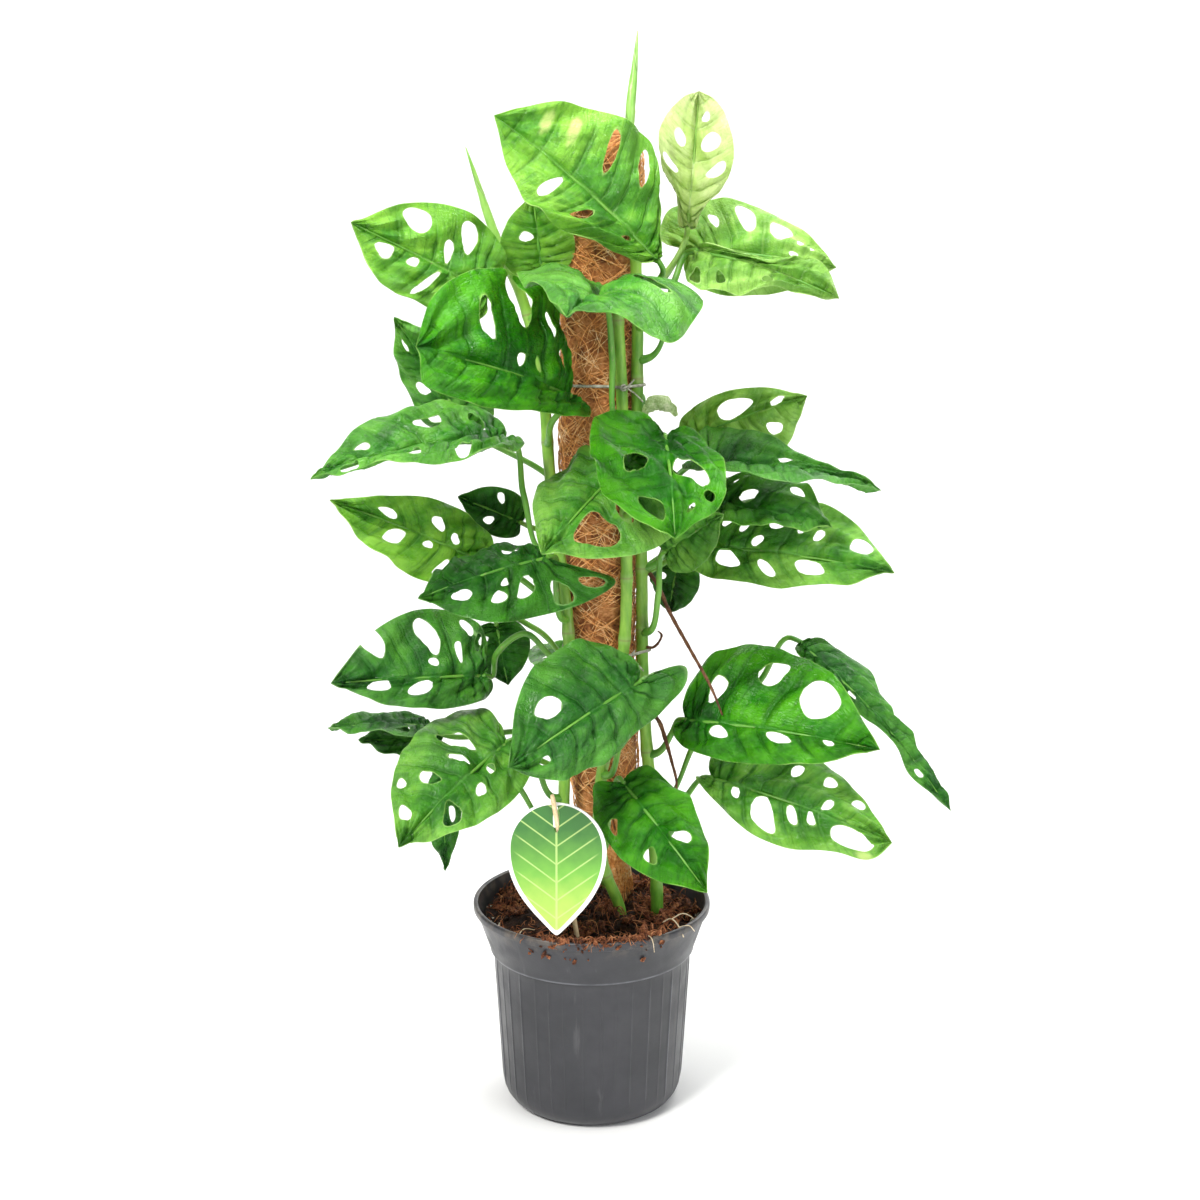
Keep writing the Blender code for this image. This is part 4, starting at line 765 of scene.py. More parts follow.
        holes=[(1, 0.70, 0.30, 0.68, 0.11), (-1, 0.84, 0.35, 0.60, 0.04)]),
    "leaf_low_right_front": dict(
        base=(22, -47, 254), tip=(77, -112, 199), face=(8, 16), left=30, right=34, curl=(-15, -10),
        lobes=(0, 0.1), tone="rich", stem="stem_front", node=198, via=[(12, -34, 226)],
        holes=[(-1, 0.70, 0.08, 0.62, 0.06), (1, 0.67, 0.42, 0.76, 0.06), (1, 0.41, 0.55, 0.82, 0.06)]),
    "leaf_mid_front_round": dict(
        base=(49, -55, 495), tip=(53, -135, 443), face=(5, 32), left=37, right=50, arch=0.07, curl=(-10, 10),
        lobes=(0.1, 0), apical=(1.2, 1), tone="rich", stem="stem_right", node=468, via=[(42, -34, 492)],
        outline=(None, [(-0.25, 0.14), (-0.33, 0.52), (-0.12, 0.93), (0.30, 1.03),
                        (0.56, 1.00), (0.76, 0.80), (0.91, 0.30)]),
        holes=[(1, 0.54, 0.28, 0.62, 0.12), (-1, 0.57, 0.05, 0.68, 0.16), (-1, 0.68, 0.66, 0.86, 0.07),
               (1, 0.82, 0.22, 0.66, 0.11), (-1, 0.80, 0.45, 0.62, 0.05)]),
    "leaf_mid_front_left": dict(
        base=(32, -45, 483), tip=(-31, -120, 430), face=(-10, 25), left=56, right=42, fold=(0, -8),
        curl=(-10, -20), apical=(1.1, 1.15), tone="lit", stem="stem_front", node=436, via=[(28, -34, 462)],
        holes=[(-1, 0.76, 0.14, 0.80, 0.15), (-1, 0.62, 0.32, 0.62, 0.05)]),
    "leaf_mid_front_small": dict(
        base=(50, -28, 412), tip=(88, -50, 442), face=(0, 20), left=20, right=22, arch=0.05, fold=(4, 4),
        tone="lit", stem="stem_right", node=350, via=[(46, -18, 380)],
        holes=[(-1, 0.50, 0.30, 0.65, 0.10)]),
    "leaf_mid_right_top": dict(
        base=(68, 23, 482), tip=(147, 0, 514), face=(10, 20), left=21, right=31, arch=0.05, fold=(5, -35),
        apical=(1.0, 1.5), tone="light", stem="stem_back", node=444, via=[(40, 26, 466)],
        holes=[(-1, 0.58, 0.05, 0.76, 0.18), (-1, 0.82, 0.05, 0.70, 0.06), (1, 0.74, 0.36, 0.70, 0.08)]),
    "leaf_mid_right_flat": dict(
        base=(74, -8, 470), tip=(191, -60, 460), face=(5, 38), left=31, right=30, fold=(4, 55),
        curl=(-10, -10), tone="deep", stem="stem_right", node=432, via=[(54, -10, 456)],
        outline=([(-0.08, 0.52), (-0.06, 1.00), (0.06, 1.08), (0.27, 0.91),
                  (0.53, 0.50), (0.73, 0.28), (0.88, 0.20)], None),
        holes=[(-1, 0.62, 0.30, 0.62, 0.05)]),
    "leaf_mid_right_bright": dict(
        base=(78, -5, 440), tip=(160, -55, 434), face=(5, 40), left=38, right=20, fold=(0, 30),
        curl=(-10, -10), stem="stem_right", node=396, via=[(56, -8, 424)],
        holes=[(-1, 0.35, 0.55, 0.85, 0.07), (-1, 0.52, 0.08, 0.42, 0.10), (-1, 0.70, 0.66, 0.84, 0.09)]),
    "leaf_mid_right_long": dict(
        base=(75, 5, 409), tip=(203, -50, 402), face=(8, 35), left=40, right=26, arch=0.05, fold=(4, -4),
        apical=(1.25, 1.0), tone="lit", stem="stem_back", node=366, via=[(44, 26, 388)],
        holes=[(-1, 0.32, 0.42, 0.60, 0.05), (-1, 0.42, 0.30, 0.55, 0.04), (-1, 0.55, 0.40, 0.76, 0.08),
               (-1, 0.64, 0.40, 0.60, 0.03), (-1, 0.70, 0.36, 0.56, 0.03), (-1, 0.83, 0.45, 0.92, 0.07),
               (1, 0.38, 0.05, 0.60, 0.11), (-1, 0.51, 0.06, 0.26, 0.04), (1, 0.70, 0.08, 0.75, 0.09),
               (1, 0.54, 0.30, 0.70, 0.05)]),
    "leaf_mid_right_back": dict(
        base=(62, 52, 388), tip=(56, 66, 345), face=(-20, 0), left=19, right=19, arch=0.05, curl=(-10, -10),
        tone="shaded", stem="stem_back", node=345, via=[(40, 48, 385)],
        holes=[(1, 0.50, 0.30, 0.70, 0.10)]),
    "leaf_low_right": dict(
        base=(65, -20, 291), tip=(193, -80, 288), face=(5, 30), left=64, right=26, fold=(0, -4),
        curl=(-12, 0), basal=(1.15, 1.0), tone="rich", stem="stem_right", node=262, via=[(56, -17, 280)],
        holes=[(-1, 0.34, 0.20, 0.55, 0.08), (-1, 0.53, 0.50, 0.84, 0.10), (-1, 0.73, 0.32, 0.88, 0.13),
               (1, 0.42, 0.08, 0.42, 0.09), (1, 0.66, 0.05, 0.42, 0.08), (1, 0.82, 0.06, 0.40, 0.03)]),
    "leaf_low_right_folded": dict(
        base=(147, 10, 339), tip=(249, -40, 231), face=(35, 30), left=26, right=14, fold=(-10, -10),
        curl=(-10, -10), tone="deep", stem="stem_right", node=222, via=[(76, 6, 270), (120, 14, 310)],
        outline=([(0.03, 0.56), (0.09, 1.20), (0.22, 1.30), (0.40, 1.00),
                  (0.55, 0.62), (0.69, 0.48), (0.84, 0.45)],
                 [(0.00, 0.40), (0.07, 0.70), (0.16, 0.62), (0.29, 0.70),
                  (0.46, 0.60), (0.64, 0.32), (0.80, 0.70)]),
        holes=[(1, 0.53, 0.20, 0.60, 0.04), (1, 0.85, 0.20, 0.60, 0.03)]),
    "leaf_low_right_under": dict(
        base=(85, 0, 242), tip=(206, -60, 215), face=(5, 35), left=40, right=34, fold=(-2, -2),
        curl=(-10, -10), tone="lit", stem="stem_right", node=198, via=[(66, -6, 228)],
        spots=[(1, 0.86, 0.93, 0.035)],
        outline=(None,
                 [(-0.07, 0.08), (-0.02, 0.27), (0.14, 0.61), (0.32, 0.88),
                  (0.55, 0.91), (0.76, 0.64), (0.94, 0.48)]),
        holes=[(1, 0.52, 0.06, 0.80, 0.10), (1, 0.64, 0.06, 0.50, 0.04), (1, 0.71, 0.06, 0.45, 0.03),
               (-1, 0.74, 0.10, 0.42, 0.03), (1, 0.84, 0.06, 0.86, 0.13), (-1, 0.55, 0.52, 0.72, 0.04),
               (-1, 0.45, 0.54, 0.78, 0.05), (1, 0.38, 0.05, 0.35, 0.05), (-1, 0.66, 0.66, 0.86, 0.04),
               (-1, 0.78, 0.70, 0.94, 0.04)]),
    "leaf_low_left_hanging": dict(
        base=(-104, 0, 252), tip=(-103, -25, 181), face=(-10, 5), left=13, right=13, arch=0.04,
        curl=(-10, -10), tone="deep", stem="stem_left", node=206, via=[(-56, -12, 244)],
        holes=[(1, 0.45, 0.30, 0.75, 0.12), (-1, 0.60, 0.30, 0.70, 0.10)]),
    "leaf_back_top": dict(
        base=(10, 62, 655), tip=(18, 128, 612), face=(180, 45), left=26, right=26, fold=(4, 4),
        curl=(-10, -10), stem="stem_back", node=610, via=[(9, 52, 640)],
        holes=[(1, 0.45, 0.25, 0.75, 0.12), (-1, 0.60, 0.25, 0.75, 0.12)]),
    "leaf_back_mid": dict(
        base=(8, 76, 506), tip=(20, 172, 444), face=(180, 45), left=30, right=30, arch=0.07, fold=(4, 4),
        curl=(-10, -10), stem="stem_back", node=462, via=[(6, 58, 488)],
        holes=[(1, 0.40, 0.25, 0.75, 0.10), (1, 0.64, 0.25, 0.75, 0.10), (-1, 0.52, 0.25, 0.80, 0.12)]),
    "leaf_back_low": dict(
        base=(-4, 74, 322), tip=(-22, 168, 266), face=(190, 45), left=38, right=38, arch=0.07, fold=(4, 4),
        curl=(-10, -10), stem="stem_back", node=272, via=[(0, 56, 304)],
        holes=[(1, 0.50, 0.25, 0.80, 0.12), (-1, 0.36, 0.25, 0.75, 0.10), (-1, 0.64, 0.25, 0.75, 0.10)]),
}

leafBuild = dict(cell=1.55, rows=(44, 116), columns=(14, 34), veins=8, thickness=0.55, arch=0.06,
                 stalkSides=10, stalkRadius=2.4, neckRadius=1.8)
windowShape = dict(power=2.15, flare=0.28)  # how square a window is, and how much wider its outer end is
leafRelief = dict(bulgeShare=0.17, bulgeMost=2.2, groove=0.55, grooveWidth=0.9, valley=1.1, valleyWidth=1.9,
                  waves=2.3, ripple=0.7, swell=0.75, pucker=0.17, lip=0.35, lipWidth=1.3, wavyLength=110)


def leafFrame(leaf):
    base = np.array(leaf["base"], float)
    chord = np.array(leaf["tip"], float) - base
    length = np.linalg.norm(chord)
    along = chord / length
    turn, lift = np.radians(leaf["face"])
    face = np.array([math.sin(turn) * math.cos(lift), -math.cos(turn) * math.cos(lift), math.sin(lift)])
    face = unit(face - along * face.dot(along))
    return base, along, face, np.cross(along, face), length


def perSide(leaf, key, plain, right):
    left, other = leaf.get(key, (plain, plain))
    return np.where(right, other, left)


def marginOf(leaf, q, v):  # reach, out and start of the side vein, for the half that v is on
    right, rows = v > 0, []
    for own in leaf.get("outline", (None, None)):
        pairs = [(0, 0)] + own + [(1, 0)] if own else None
        rows.append([(row[0], *pair, row[3]) for row, pair in zip(marginRows, pairs)] if own else marginRows)
    return np.where(right[..., None], smooth(rows[1], q), smooth(rows[0], q))


def leafPoint(leaf, q, v):  # q runs from the stalk to the tip, v from the left margin to the right
    q, v = np.broadcast_arrays(np.asarray(q, float), np.asarray(v, float))
    base, along, face, across, length = leafFrame(leaf)
    margin = marginOf(leaf, q, v)
    reach, out, start = margin[..., 0], margin[..., 1], margin[..., 2]
    right = v > 0
    r = np.abs(v)
    lobes = perSide(leaf, "lobes", 0, right)
    reach = reach - lobes * ease(out / 0.6) * (np.clip(0.4 - reach, 0, 1) / 0.45)**2
    basal, apical = perSide(leaf, "basal", 1, right), perSide(leaf, "apical", 1, right)
    out = out * (basal + (1 - basal) * ease(q / 0.5)) * (1 + (apical - 1) * ease((q - 0.45) / 0.35))
    half = np.where(right, leaf["right"], leaf["left"])
    tilt = np.radians(perSide(leaf, "fold", 0, right) + perSide(leaf, "curl", 0, right) * r * out
                      - perSide(leaf, "droop", 0, right) * ease((start - 0.15) / 0.45))
    arch = leaf.get("arch", leafBuild["arch"])
    rise = arch * length * 4 * start * (1 - start)
    slope = (arch * 4 * (1 - 2 * start))[..., None]
    stretch = np.sqrt(1 + slope**2)
    forward = (along + face * slope) / stretch
    upward = (face - along * slope) / stretch
    width = r * out * half
    sideways = np.where(right, 1, -1) * width * np.cos(tilt)
    return (base + along * (length * start)[..., None] + face * rise[..., None]
            + forward * ((reach - start) * length * r**1.5)[..., None]
            + across * sideways[..., None] + upward * (width * np.sin(tilt))[..., None])


def leafNormal(leaf, q, v):
    face = leafFrame(leaf)[2]
    q = np.clip(q, 0.02, 0.98)
    alongways = leafPoint(leaf, q + 0.01, v) - leafPoint(leaf, q - 0.01, v)
    sideways = leafPoint(leaf, q, v + 0.03) - leafPoint(leaf, q, v - 0.03)
    normal = np.cross(sideways, alongways) + face * 0.02
    normal /= np.maximum(np.linalg.norm(normal, axis=-1), 1e-9)[..., None]
    return normal


def holePlace(hole, q, v, phase):  # how far out of the hole a point is (1 on its edge), and its direction
    side, along, inner, outer, breadth = hole
    middle, reach = (inner + outer) / 2, (outer - inner) / 2
    t = (np.abs(v) - middle) / reach
    flare, power = 1 + windowShape["flare"] * np.clip(t, -1, 1), windowShape["power"]
    a = (q - along) / (breadth / 2 * flare)
    size = (np.abs(a)**power + np.abs(t)**power)**(1 / power)
    turn = np.arctan2(a, t)
    edge = 1 + 0.07 * np.sin(2 * turn + phase) + 0.05 * np.sin(3 * turn + 2.3 * phase)
    return np.where(np.sign(v) == side, size / edge, 9.0), a, t


def onHoleEdge(hole, q, v, phase):  # the point moved to the hole's edge
    side, along, inner, outer, breadth = hole
    middle, reach = (inner + outer) / 2, (outer - inner) / 2
    size, a, t = holePlace(hole, q, v, phase)
    a, t = a / size, t / size
    if outer > 1 and abs(v) > 0.97:  # an open notch meets the margin
        t, power = (1 - middle) / reach, windowShape["power"]
        a = math.copysign(max(1 - abs(t)**power, 0)**(1 / power), a)
    r = min(middle + t * reach, 1.0)
    flare = 1 + windowShape["flare"] * min(max(t, -1), 1)
    return along + a * breadth / 2 * flare, side * r


def veinPlaces(leaf, side, rows):
    spots = [0.08 + 0.84 * i / leafBuild["veins"] for i in range(leafBuild["veins"] + 1)]
    for holeSide, along, inner, outer, breadth in leaf["holes"]:
        if holeSide == side:
            low, high = along - breadth * 0.72 - 0.012, along + breadth * 0.72 + 0.012
            spots = [low if low < s <= along else high if along < s < high else s for s in spots]
    kept = []
    for spot in sorted(spots):
        if 0.03 < spot < 0.97 and (not kept or spot - kept[-1] > 0.045):
            kept.append(round(spot * rows) / rows)
    return np.array([0.0] + kept + [1.0])


def lanesAt(lanes, q, right):  # which pair of side veins a place lies between, and how far along
    onRight, onLeft = (np.interp(q, lanes[side], np.arange(len(lanes[side]))) for side in (1, -1))
    return np.where(right, onRight, onLeft)


def softWaves(rng, count, strength, alongTurns, acrossTurns, q, v):
    total = np.zeros(len(q))
    for _ in range(count):
        kq, kv = rng.uniform(*alongTurns), rng.uniform(*acrossTurns)
        total += strength * np.sin(kq * 6.28 * q + kv * 3.14 * v + rng.uniform(0, 6.28))
    return total


def makeBlade(name, leaf, rng):
    length = leafFrame(leaf)[4]
    cell = leafBuild["cell"]
    rows = int(np.clip(round(length * 1.1 / cell), *leafBuild["rows"]))
    columns = 2 * int(np.clip(round(max(leaf["left"], leaf["right"]) / cell), *leafBuild["columns"]))
    piece = addGrid(name + "_blade", columns, rows)
    at = placesOf(piece)
    v, q = at[:, 0].copy(), (at[:, 1] + 1) / 2
    verts, faces = cornersOf(piece)
    count = len(piece.data.polygons)
    middleQ = np.bincount(faces, q[verts], count) / 4
    middleV = np.bincount(faces, v[verts], count) / 4

    closed = leaf.get("closed", ())
    holes = [hole for i, hole in enumerate(leaf["holes"]) if i not in closed]
    phases = [rng.uniform(0, 6.28) for _ in holes]
    inHole = np.zeros(count, bool)
    rim = (1 - np.abs(v)) * marginOf(leaf, q, v)[:, 1] * np.where(v > 0, leaf["right"], leaf["left"])
    for hole, phase in zip(holes, phases):
        inside = holePlace(hole, middleQ, middleV, phase)[0] < 1
        inHole |= inside
        gone = np.zeros(len(q), bool)
        gone[verts[inside[faces]]] = True
        stays = np.zeros(len(q), bool)
        stays[verts[~inside[faces]]] = True
        for i in np.nonzero(gone & stays)[0]:
            if abs(v[i]) > 1e-6:
                q[i], v[i] = onHoleEdge(hole, q[i], v[i], phase)
        size = holePlace(hole, q, v, phase)[0]
        width = leaf["right" if hole[0] > 0 else "left"]
        narrow = min(hole[4] / 2 * length, (hole[3] - hole[2]) / 2 * width)
        rim = np.minimum(rim, np.maximum(size - 1, 0) * narrow)
    q = np.clip(q, 0, 1)

    r, right = np.abs(v), v > 0
    half = np.where(right, leaf["right"], leaf["left"])
    out = marginOf(leaf, q, v)[:, 1]
    lanes = {side: veinPlaces(leaf, side, rows) for side in (-1, 1)}
    lane = lanesAt(lanes, q, right)
    laneWidth = np.zeros(len(q))
    for side, mask in ((1, right), (-1, ~right)):
        widths = np.diff(lanes[side])
        laneWidth[mask] = widths[np.clip(lane[mask].astype(int), 0, len(widths) - 1)] * length
    part = lane % 1.0
    toVein = np.minimum(part, 1 - part) * laneWidth

    s = leafRelief
    body = ease(q / 0.07) * ease((1 - q) / 0.06)
    reachOut = ease(r / 0.14) * (1 - 0.85 * ease((r - 0.62) / 0.38))
    uneven = np.interp(lane.astype(int), np.arange(24), rng.uniform(0.45, 1.25, 24))
    uneven *= np.where(right, 1.0, rng.uniform(0.7, 1.1))
    bulge = np.minimum(laneWidth * s["bulgeShare"], s["bulgeMost"]) * uneven
    bulge = bulge * np.sin(math.pi * part)**0.8 * reachOut
    groove = s["groove"] * np.exp(-(toVein / s["grooveWidth"])**2) * (1 - 0.7 * r)
    valley = s["valley"] * np.exp(-(r * out * half / s["valleyWidth"])**2)
    waves = np.zeros(len(q))
    for side, mask in ((1, right), (-1, ~right)):
        turns, phase = rng.uniform(2.2, 4.2), rng.uniform(0, 6.28)
        small, smallPhase = rng.uniform(7, 10), rng.uniform(0, 6.28)
        waves[mask] = (s["waves"] * np.sin(turns * 2 * math.pi * q[mask] + phase)
                       + s["ripple"] * np.sin(small * 2 * math.pi * q[mask] + smallPhase)) * r[mask]**2.5
    swell = softWaves(rng, 5, s["swell"], (1.5, 6.0), (1.5, 5.5), q, v)
    pucker = softWaves(rng, 6, s["pucker"], (12, 26), (6, 16), q, v)
    lip = s["lip"] * np.exp(-(rim / s["lipWidth"])**2)
    scale = min(1.0, length / s["wavyLength"])
    height = (bulge - groove - valley + (waves + swell) * scale + pucker * reachOut - lip) * body
    places = leafPoint(leaf, q, v) + leafNormal(leaf, q, v) * height[:, None]
    movePlaces(piece, places * mm)

    sideOfFace = (middleV > 0)[faces]
    laneOfCorner = lanesAt(lanes, q[verts], sideOfFace) + np.where(sideOfFace, 0, 20)
    setMap(piece, np.column_stack([laneOfCorner, v[verts]]))
    setValue(piece, "rim", rim)
    pale = np.zeros(len(q))
    for i in closed:
        pale = np.maximum(pale, 1 - ease((holePlace(leaf["holes"][i], q, v, 1.0)[0] - 0.75) / 0.4))
    for side, spotQ, spotV, size in leaf.get("spots", ()):
        away = np.hypot(q - spotQ, (v * side - spotV) * half / length) / size
        pale = np.maximum(pale, 1 - ease((away - 0.5) / 0.6))
    setValue(piece, "pale", pale)

    pickFaces(piece, inHole)
    bpy.ops.mesh.delete(type="FACE")
    bpy.ops.object.mode_set(mode="OBJECT")
    weld(piece, 0.00003, outward=False)
    thicken(piece, leafBuild["thickness"], -1.0)
    return piece


def stalkRows(leaf):
    base, along, face = leafFrame(leaf)[:3]
    stem, rising = rowAt(stemRows(leaf["stem"]), leaf["node"])
    through = [np.array(p, float) for p in leaf["via"]] + [base]
    out = through[0] - stem[:3]
    out[2] = 0
    out = unit(out - rising * out.dot(rising))
    bark = stem[:3] + out * (stem[3] - 1.4)
    arrival = base - unit(along * 0.8 + face * 0.6) * 9
    radius, neck = leafBuild["stalkRadius"], leafBuild["neckRadius"]
    route = [(*bark, radius + 0.9), (*(bark + out * 4 + rising * 1.0), radius + 0.4)]
    route += [(*p, radius - 0.2) for p in through[:-1]] + [(*arrival, neck + 0.1), (*base, neck)]
    rows = smoothRoute(route, 44)
    rib = []
    for q in np.linspace(0.03, 0.97, 22):
        thick = neck * (1 - q)**0.8 * 0.85 + 0.3
        point = leafPoint(leaf, q, 0.0)
        normal = leafNormal(leaf, np.array([q]), np.array([0.0]))[0]
        drop = 1.1 * min(1, q / 0.07, (1 - q) / 0.06) + thick * 0.75
        rib.append((*(point - normal * drop), thick))
    return np.vstack([rows, rib])


def makeLeaf(name, leaf, seed):
    rng = np.random.default_rng(seed)
    # the tone brings painted light and shade as well as the leaf's own colour
    tone = leaf.get("tone", "green")
    green = stalkYoung if tone == "young" else stalkGreen
    blade = makeBlade(name, leaf, rng)
    dress(blade, leafTops[tone], leafUnders[tone], green)
    shadeSoft(blade, 50)
    stalk = makeTube(name + "_stalk", stalkRows(leaf), leafBuild["stalkSides"])
    dress(stalk, green)
    shadeSoft(stalk, 60)
    joinPieces(blade, [stalk])
    settle(blade, "leaf", name)


for number, (leafName, leaf) in enumerate(leaves.items()):
    makeLeaf(leafName, leaf, 100 + number)
print("leaves done:", len(leaves))


# pot
potShape = dict(height=151.0, rim=85.0, neck=71.2, neckHeight=115.0, foot=64.8, floor=4.6, wall=2.0,
                segments=324, ribs=36, ribSteps=(0.0, 0.18, 0.34, 0.43, 0.47, 0.5, 0.53, 0.57, 0.66),
                ribHeight=0.6, ribWidth=0.055, ribLow=14.0, ribHigh=111.0, sag=0.25, rowStep=4.5,
                drains=6, drainRadius=5.0, drainCircle=30.0)


def potMaterial():
    made, tree, shader = newMaterial("potPlastic", 0.4, 0.5)
    places = objectPlaces(tree)
    patches = patchesAt(tree, places, 14.0, 6.0, 0.35)
    colour = mixed(tree, patches, rgb((0.018, 0.019, 0.023)), rgb((0.031, 0.031, 0.037)))
    height = addNode(tree, "ShaderNodeSeparateXYZ", {0: places}).outputs[2]
    scuffs = noiseAt(tree, mapped(tree, places, (60, 60, 9)), 1.0, 5.0, 0.65, 0.4)
    scuffs = remap(tree, scuffs, 0.60, 0.72, 0.0, 0.35)
    colour = mixed(tree, scuffs, colour, rgb((0.10, 0.10, 0.105)))
    # painted highlight: lighter lines along the rib crests, the bead and the lip, broken up by noise
    ridgeHighlight = remap(tree, carried(tree, "ridgeHighlight"), 0.45, 1.0)
    highlightBreakup = noiseAt(tree, mapped(tree, places, (70, 70, 12)), 1.0, 3.0)
    highlightShare = times(tree, ridgeHighlight, remap(tree, highlightBreakup, 0.30, 0.60, 0.25, 0.75))
    colour = mixed(tree, highlightShare, colour, rgb((0.16, 0.165, 0.185)))
    dust = remap(tree, noiseAt(tree, places, 90.0, 4.0, 0.65), 0.42, 0.66, 0.0, 0.5)
    dust = times(tree, remap(tree, height, 0.134, 0.150), dust)
    colour = mixed(tree, dust, colour, rgb((0.16, 0.13, 0.10)))
    rough = remap(tree, noiseAt(tree, places, 40.0, 4.0, 0.6), 0.3, 0.7, 0.30, 0.50)
    grain = noiseAt(tree, places, 900.0, 2.0)
    waves = noiseAt(tree, mapped(tree, places, (9, 9, 3)), 1.0, 2.0)
    relief = plus(tree, times(tree, grain, 0.12), times(tree, waves, 0.4))
    feed(tree, shader, Base_Color=colour, Roughness=rough, Normal=raised(tree, relief, 0.0012, 0.5))
    return made


def makePot():
    s = potShape
    wall, rim, neck, foot = s["wall"], s["rim"], s["neck"], s["foot"]
    outline = [
        (0, s["floor"]), (30, s["floor"]), (foot - 8, s["floor"]), (foot - wall - 2, 10), (foot - wall, 17),
        (neck - wall - 0.4, s["neckHeight"] - 2), (neck - wall + 1.6, s["neckHeight"] + 1.5),
        (rim - 6.6, 138), (rim - 4.4, 146), (rim - 3.2, s["height"] - 0.6), (rim - 2.2, s["height"]),
        (rim - 1.0, s["height"]), (rim - 0.3, s["height"] - 0.5), (rim, s["height"] - 1.5),
        (rim, s["height"] - 4.6), (rim - 0.5, s["height"] - 5.6), (rim - 2.2, s["height"] - 6.4),
        (rim - 3.1, 142), (rim - 4.9, 137), (rim - 8.2, 127), (neck + 2.5, s["neckHeight"] + 3),
        (neck + 2.3, s["neckHeight"] + 1.2), (neck + 1.6, s["neckHeight"] + 0.3), (neck, s["neckHeight"]),
        (neck - 0.6, s["neckHeight"] - 2.2), (foot, 16), (foot - 0.6, 12), (foot - 2.2, 8), (foot - 5.5, 3.6),
        (55, 0.7), (53, 0), (45, 0), (43.8, 2.4), (30, 2.4), (13.2, 2.4), (12, 0), (5, 0), (0, 0)]
    profile = [outline[0]]
    for (r0, z0), (r1, z1) in zip(outline, outline[1:]):
        long = math.hypot(r1 - r0, z1 - z0)
        count = 1 if long < 3 else max(1, round(long / s["rowStep"]))
        profile += [(r0 + (r1 - r0) * i / count, z0 + (z1 - z0) * i / count) for i in range(1, count + 1)]

    def ribbed(turn, reach, height):
        pitch = 2 * math.pi / s["ribs"]
        steps = len(s["ribSteps"])
        step = np.rint(turn / pitch * steps).astype(int)
        number, place = step // steps, np.array(s["ribSteps"])[step % steps]
        turn = (number + place + 0.12 * np.sin(number * 1.7)) * pitch
        turn[step == steps * s["ribs"]] = 2 * math.pi
        strength = 0.85 + 0.35 * np.sin(number * 2.4)
        fade = ease((height - s["ribLow"]) / 5) * ease((s["ribHigh"] - height) / 4)
        outside = reach > foot - 0.2
        wallLine = foot + (neck - foot) * (height - 17) / 98
        body = (height < s["neckHeight"] - 1.5) & outside & (reach > wallLine - 1.0)
        ridge = s["ribHeight"] * strength * np.exp(-((place - 0.5) / s["ribWidth"])**2) * fade * body
        sag = s["sag"] * np.sin(turn * 3 + 0.8) * np.sin(math.pi * np.clip(height / s["height"], 0, 1))
        bead = np.exp(-((height - s["neckHeight"] - 1.0) / 1.1)**2) * (reach > neck + 1.2)
        lip = 0.5 * np.exp(-((height - s["height"] + 5.2) / 0.8)**2) * (reach > s["rim"] - 1.5)
        # painted highlight lines on the rib crests, the bead and the lip, strongest on the left and right
        # sides of the pot
        lit = 0.30 + 0.70 * np.abs(np.cos(turn + 0.2))**1.5
        ridgeHighlight = np.maximum(np.maximum(ridge / s["ribHeight"] * lit, bead), lip)
        return turn, reach + ridge + sag * (reach > 20), height, ridgeHighlight

    pot = makeTurned("pot_body", profile, s["segments"], ribbed)
    drills = []
    for i in range(s["drains"]):
        angle = 2 * math.pi * i / s["drains"]
        x, y = s["drainCircle"] * mm * math.cos(angle), s["drainCircle"] * mm * math.sin(angle)
        pickNothing()
        bpy.ops.mesh.primitive_cylinder_add(vertices=24, radius=s["drainRadius"] * mm, depth=12 * mm,
                                            location=(x, y, 3.5 * mm))
        bpy.ops.object.transform_apply(location=True, rotation=True, scale=True)
        drills.append(bpy.context.object)
    drill = joinPieces(drills[0], drills[1:])
    cut = pot.modifiers.new("Drain holes", "BOOLEAN")
    cut.operation = "DIFFERENCE"
    cut.object = drill
    applyAll(pot)
    bpy.data.objects.remove(drill)
    dress(pot, potMaterial())
    shadeSoft(pot, 38)
    settle(pot, "pot_plastic", "pot")


makePot()
print("pot done")


# soil
soilShape = dict(edge=139.0, top=145.0, reach=77.6, inside=75.5, segments=150, rings=46,
                 lump=(15, 4.2), crumb=(6, 2.2))  # size of the unevenness and its height
soilBits = dict(crumbs=900, chips=620, clumps=34, fibres=760, rimFibres=170, pearls=34, spilled=240)
spillShares = (0.50, 0.88, 0.97)  # inside the rim, on it and over its edge; the rest lies on the flare below
flareHeights, flareReach = (127, 137, 142, 144), (77.2, 80.4, 82.2, 83.2)
spillPlaces = (-0.31, -0.17, 0.02, 0.12, 0.33, 0.52)  # turns from the front of the rim


def soilHeight(x, y):
    away = math.hypot(x, y)
    level = soilShape["top"] - (soilShape["top"] - soilShape["edge"]) * ease(away / soilShape["reach"])
    lumps = 0
    for (size, height), z in ((soilShape["lump"], 3.1), (soilShape["crumb"], 7.7)):
        lumps += noise.noise(Vector((x / size, y / size, z))) * height
    return float(level + lumps * (1 - ease((away - 70) / 8)))


def soilMaterial():
    made, tree, shader = newMaterial("soilDark", 0.92, 0.25)
    places = objectPlaces(tree)
    patches = patchesAt(tree, places, 90.0, 4.0, 0.5)
    colour = ramp(tree, patches, (0.0, (0.007, 0.003, 0.002)), (0.5, (0.024, 0.010, 0.006)),
                  (1.0, (0.085, 0.032, 0.015)))
    height = noiseAt(tree, places, 700.0, 5.0, 0.7)
    feed(tree, shader, Base_Color=colour, Normal=raised(tree, height, 0.0020, 1.0))
    return made


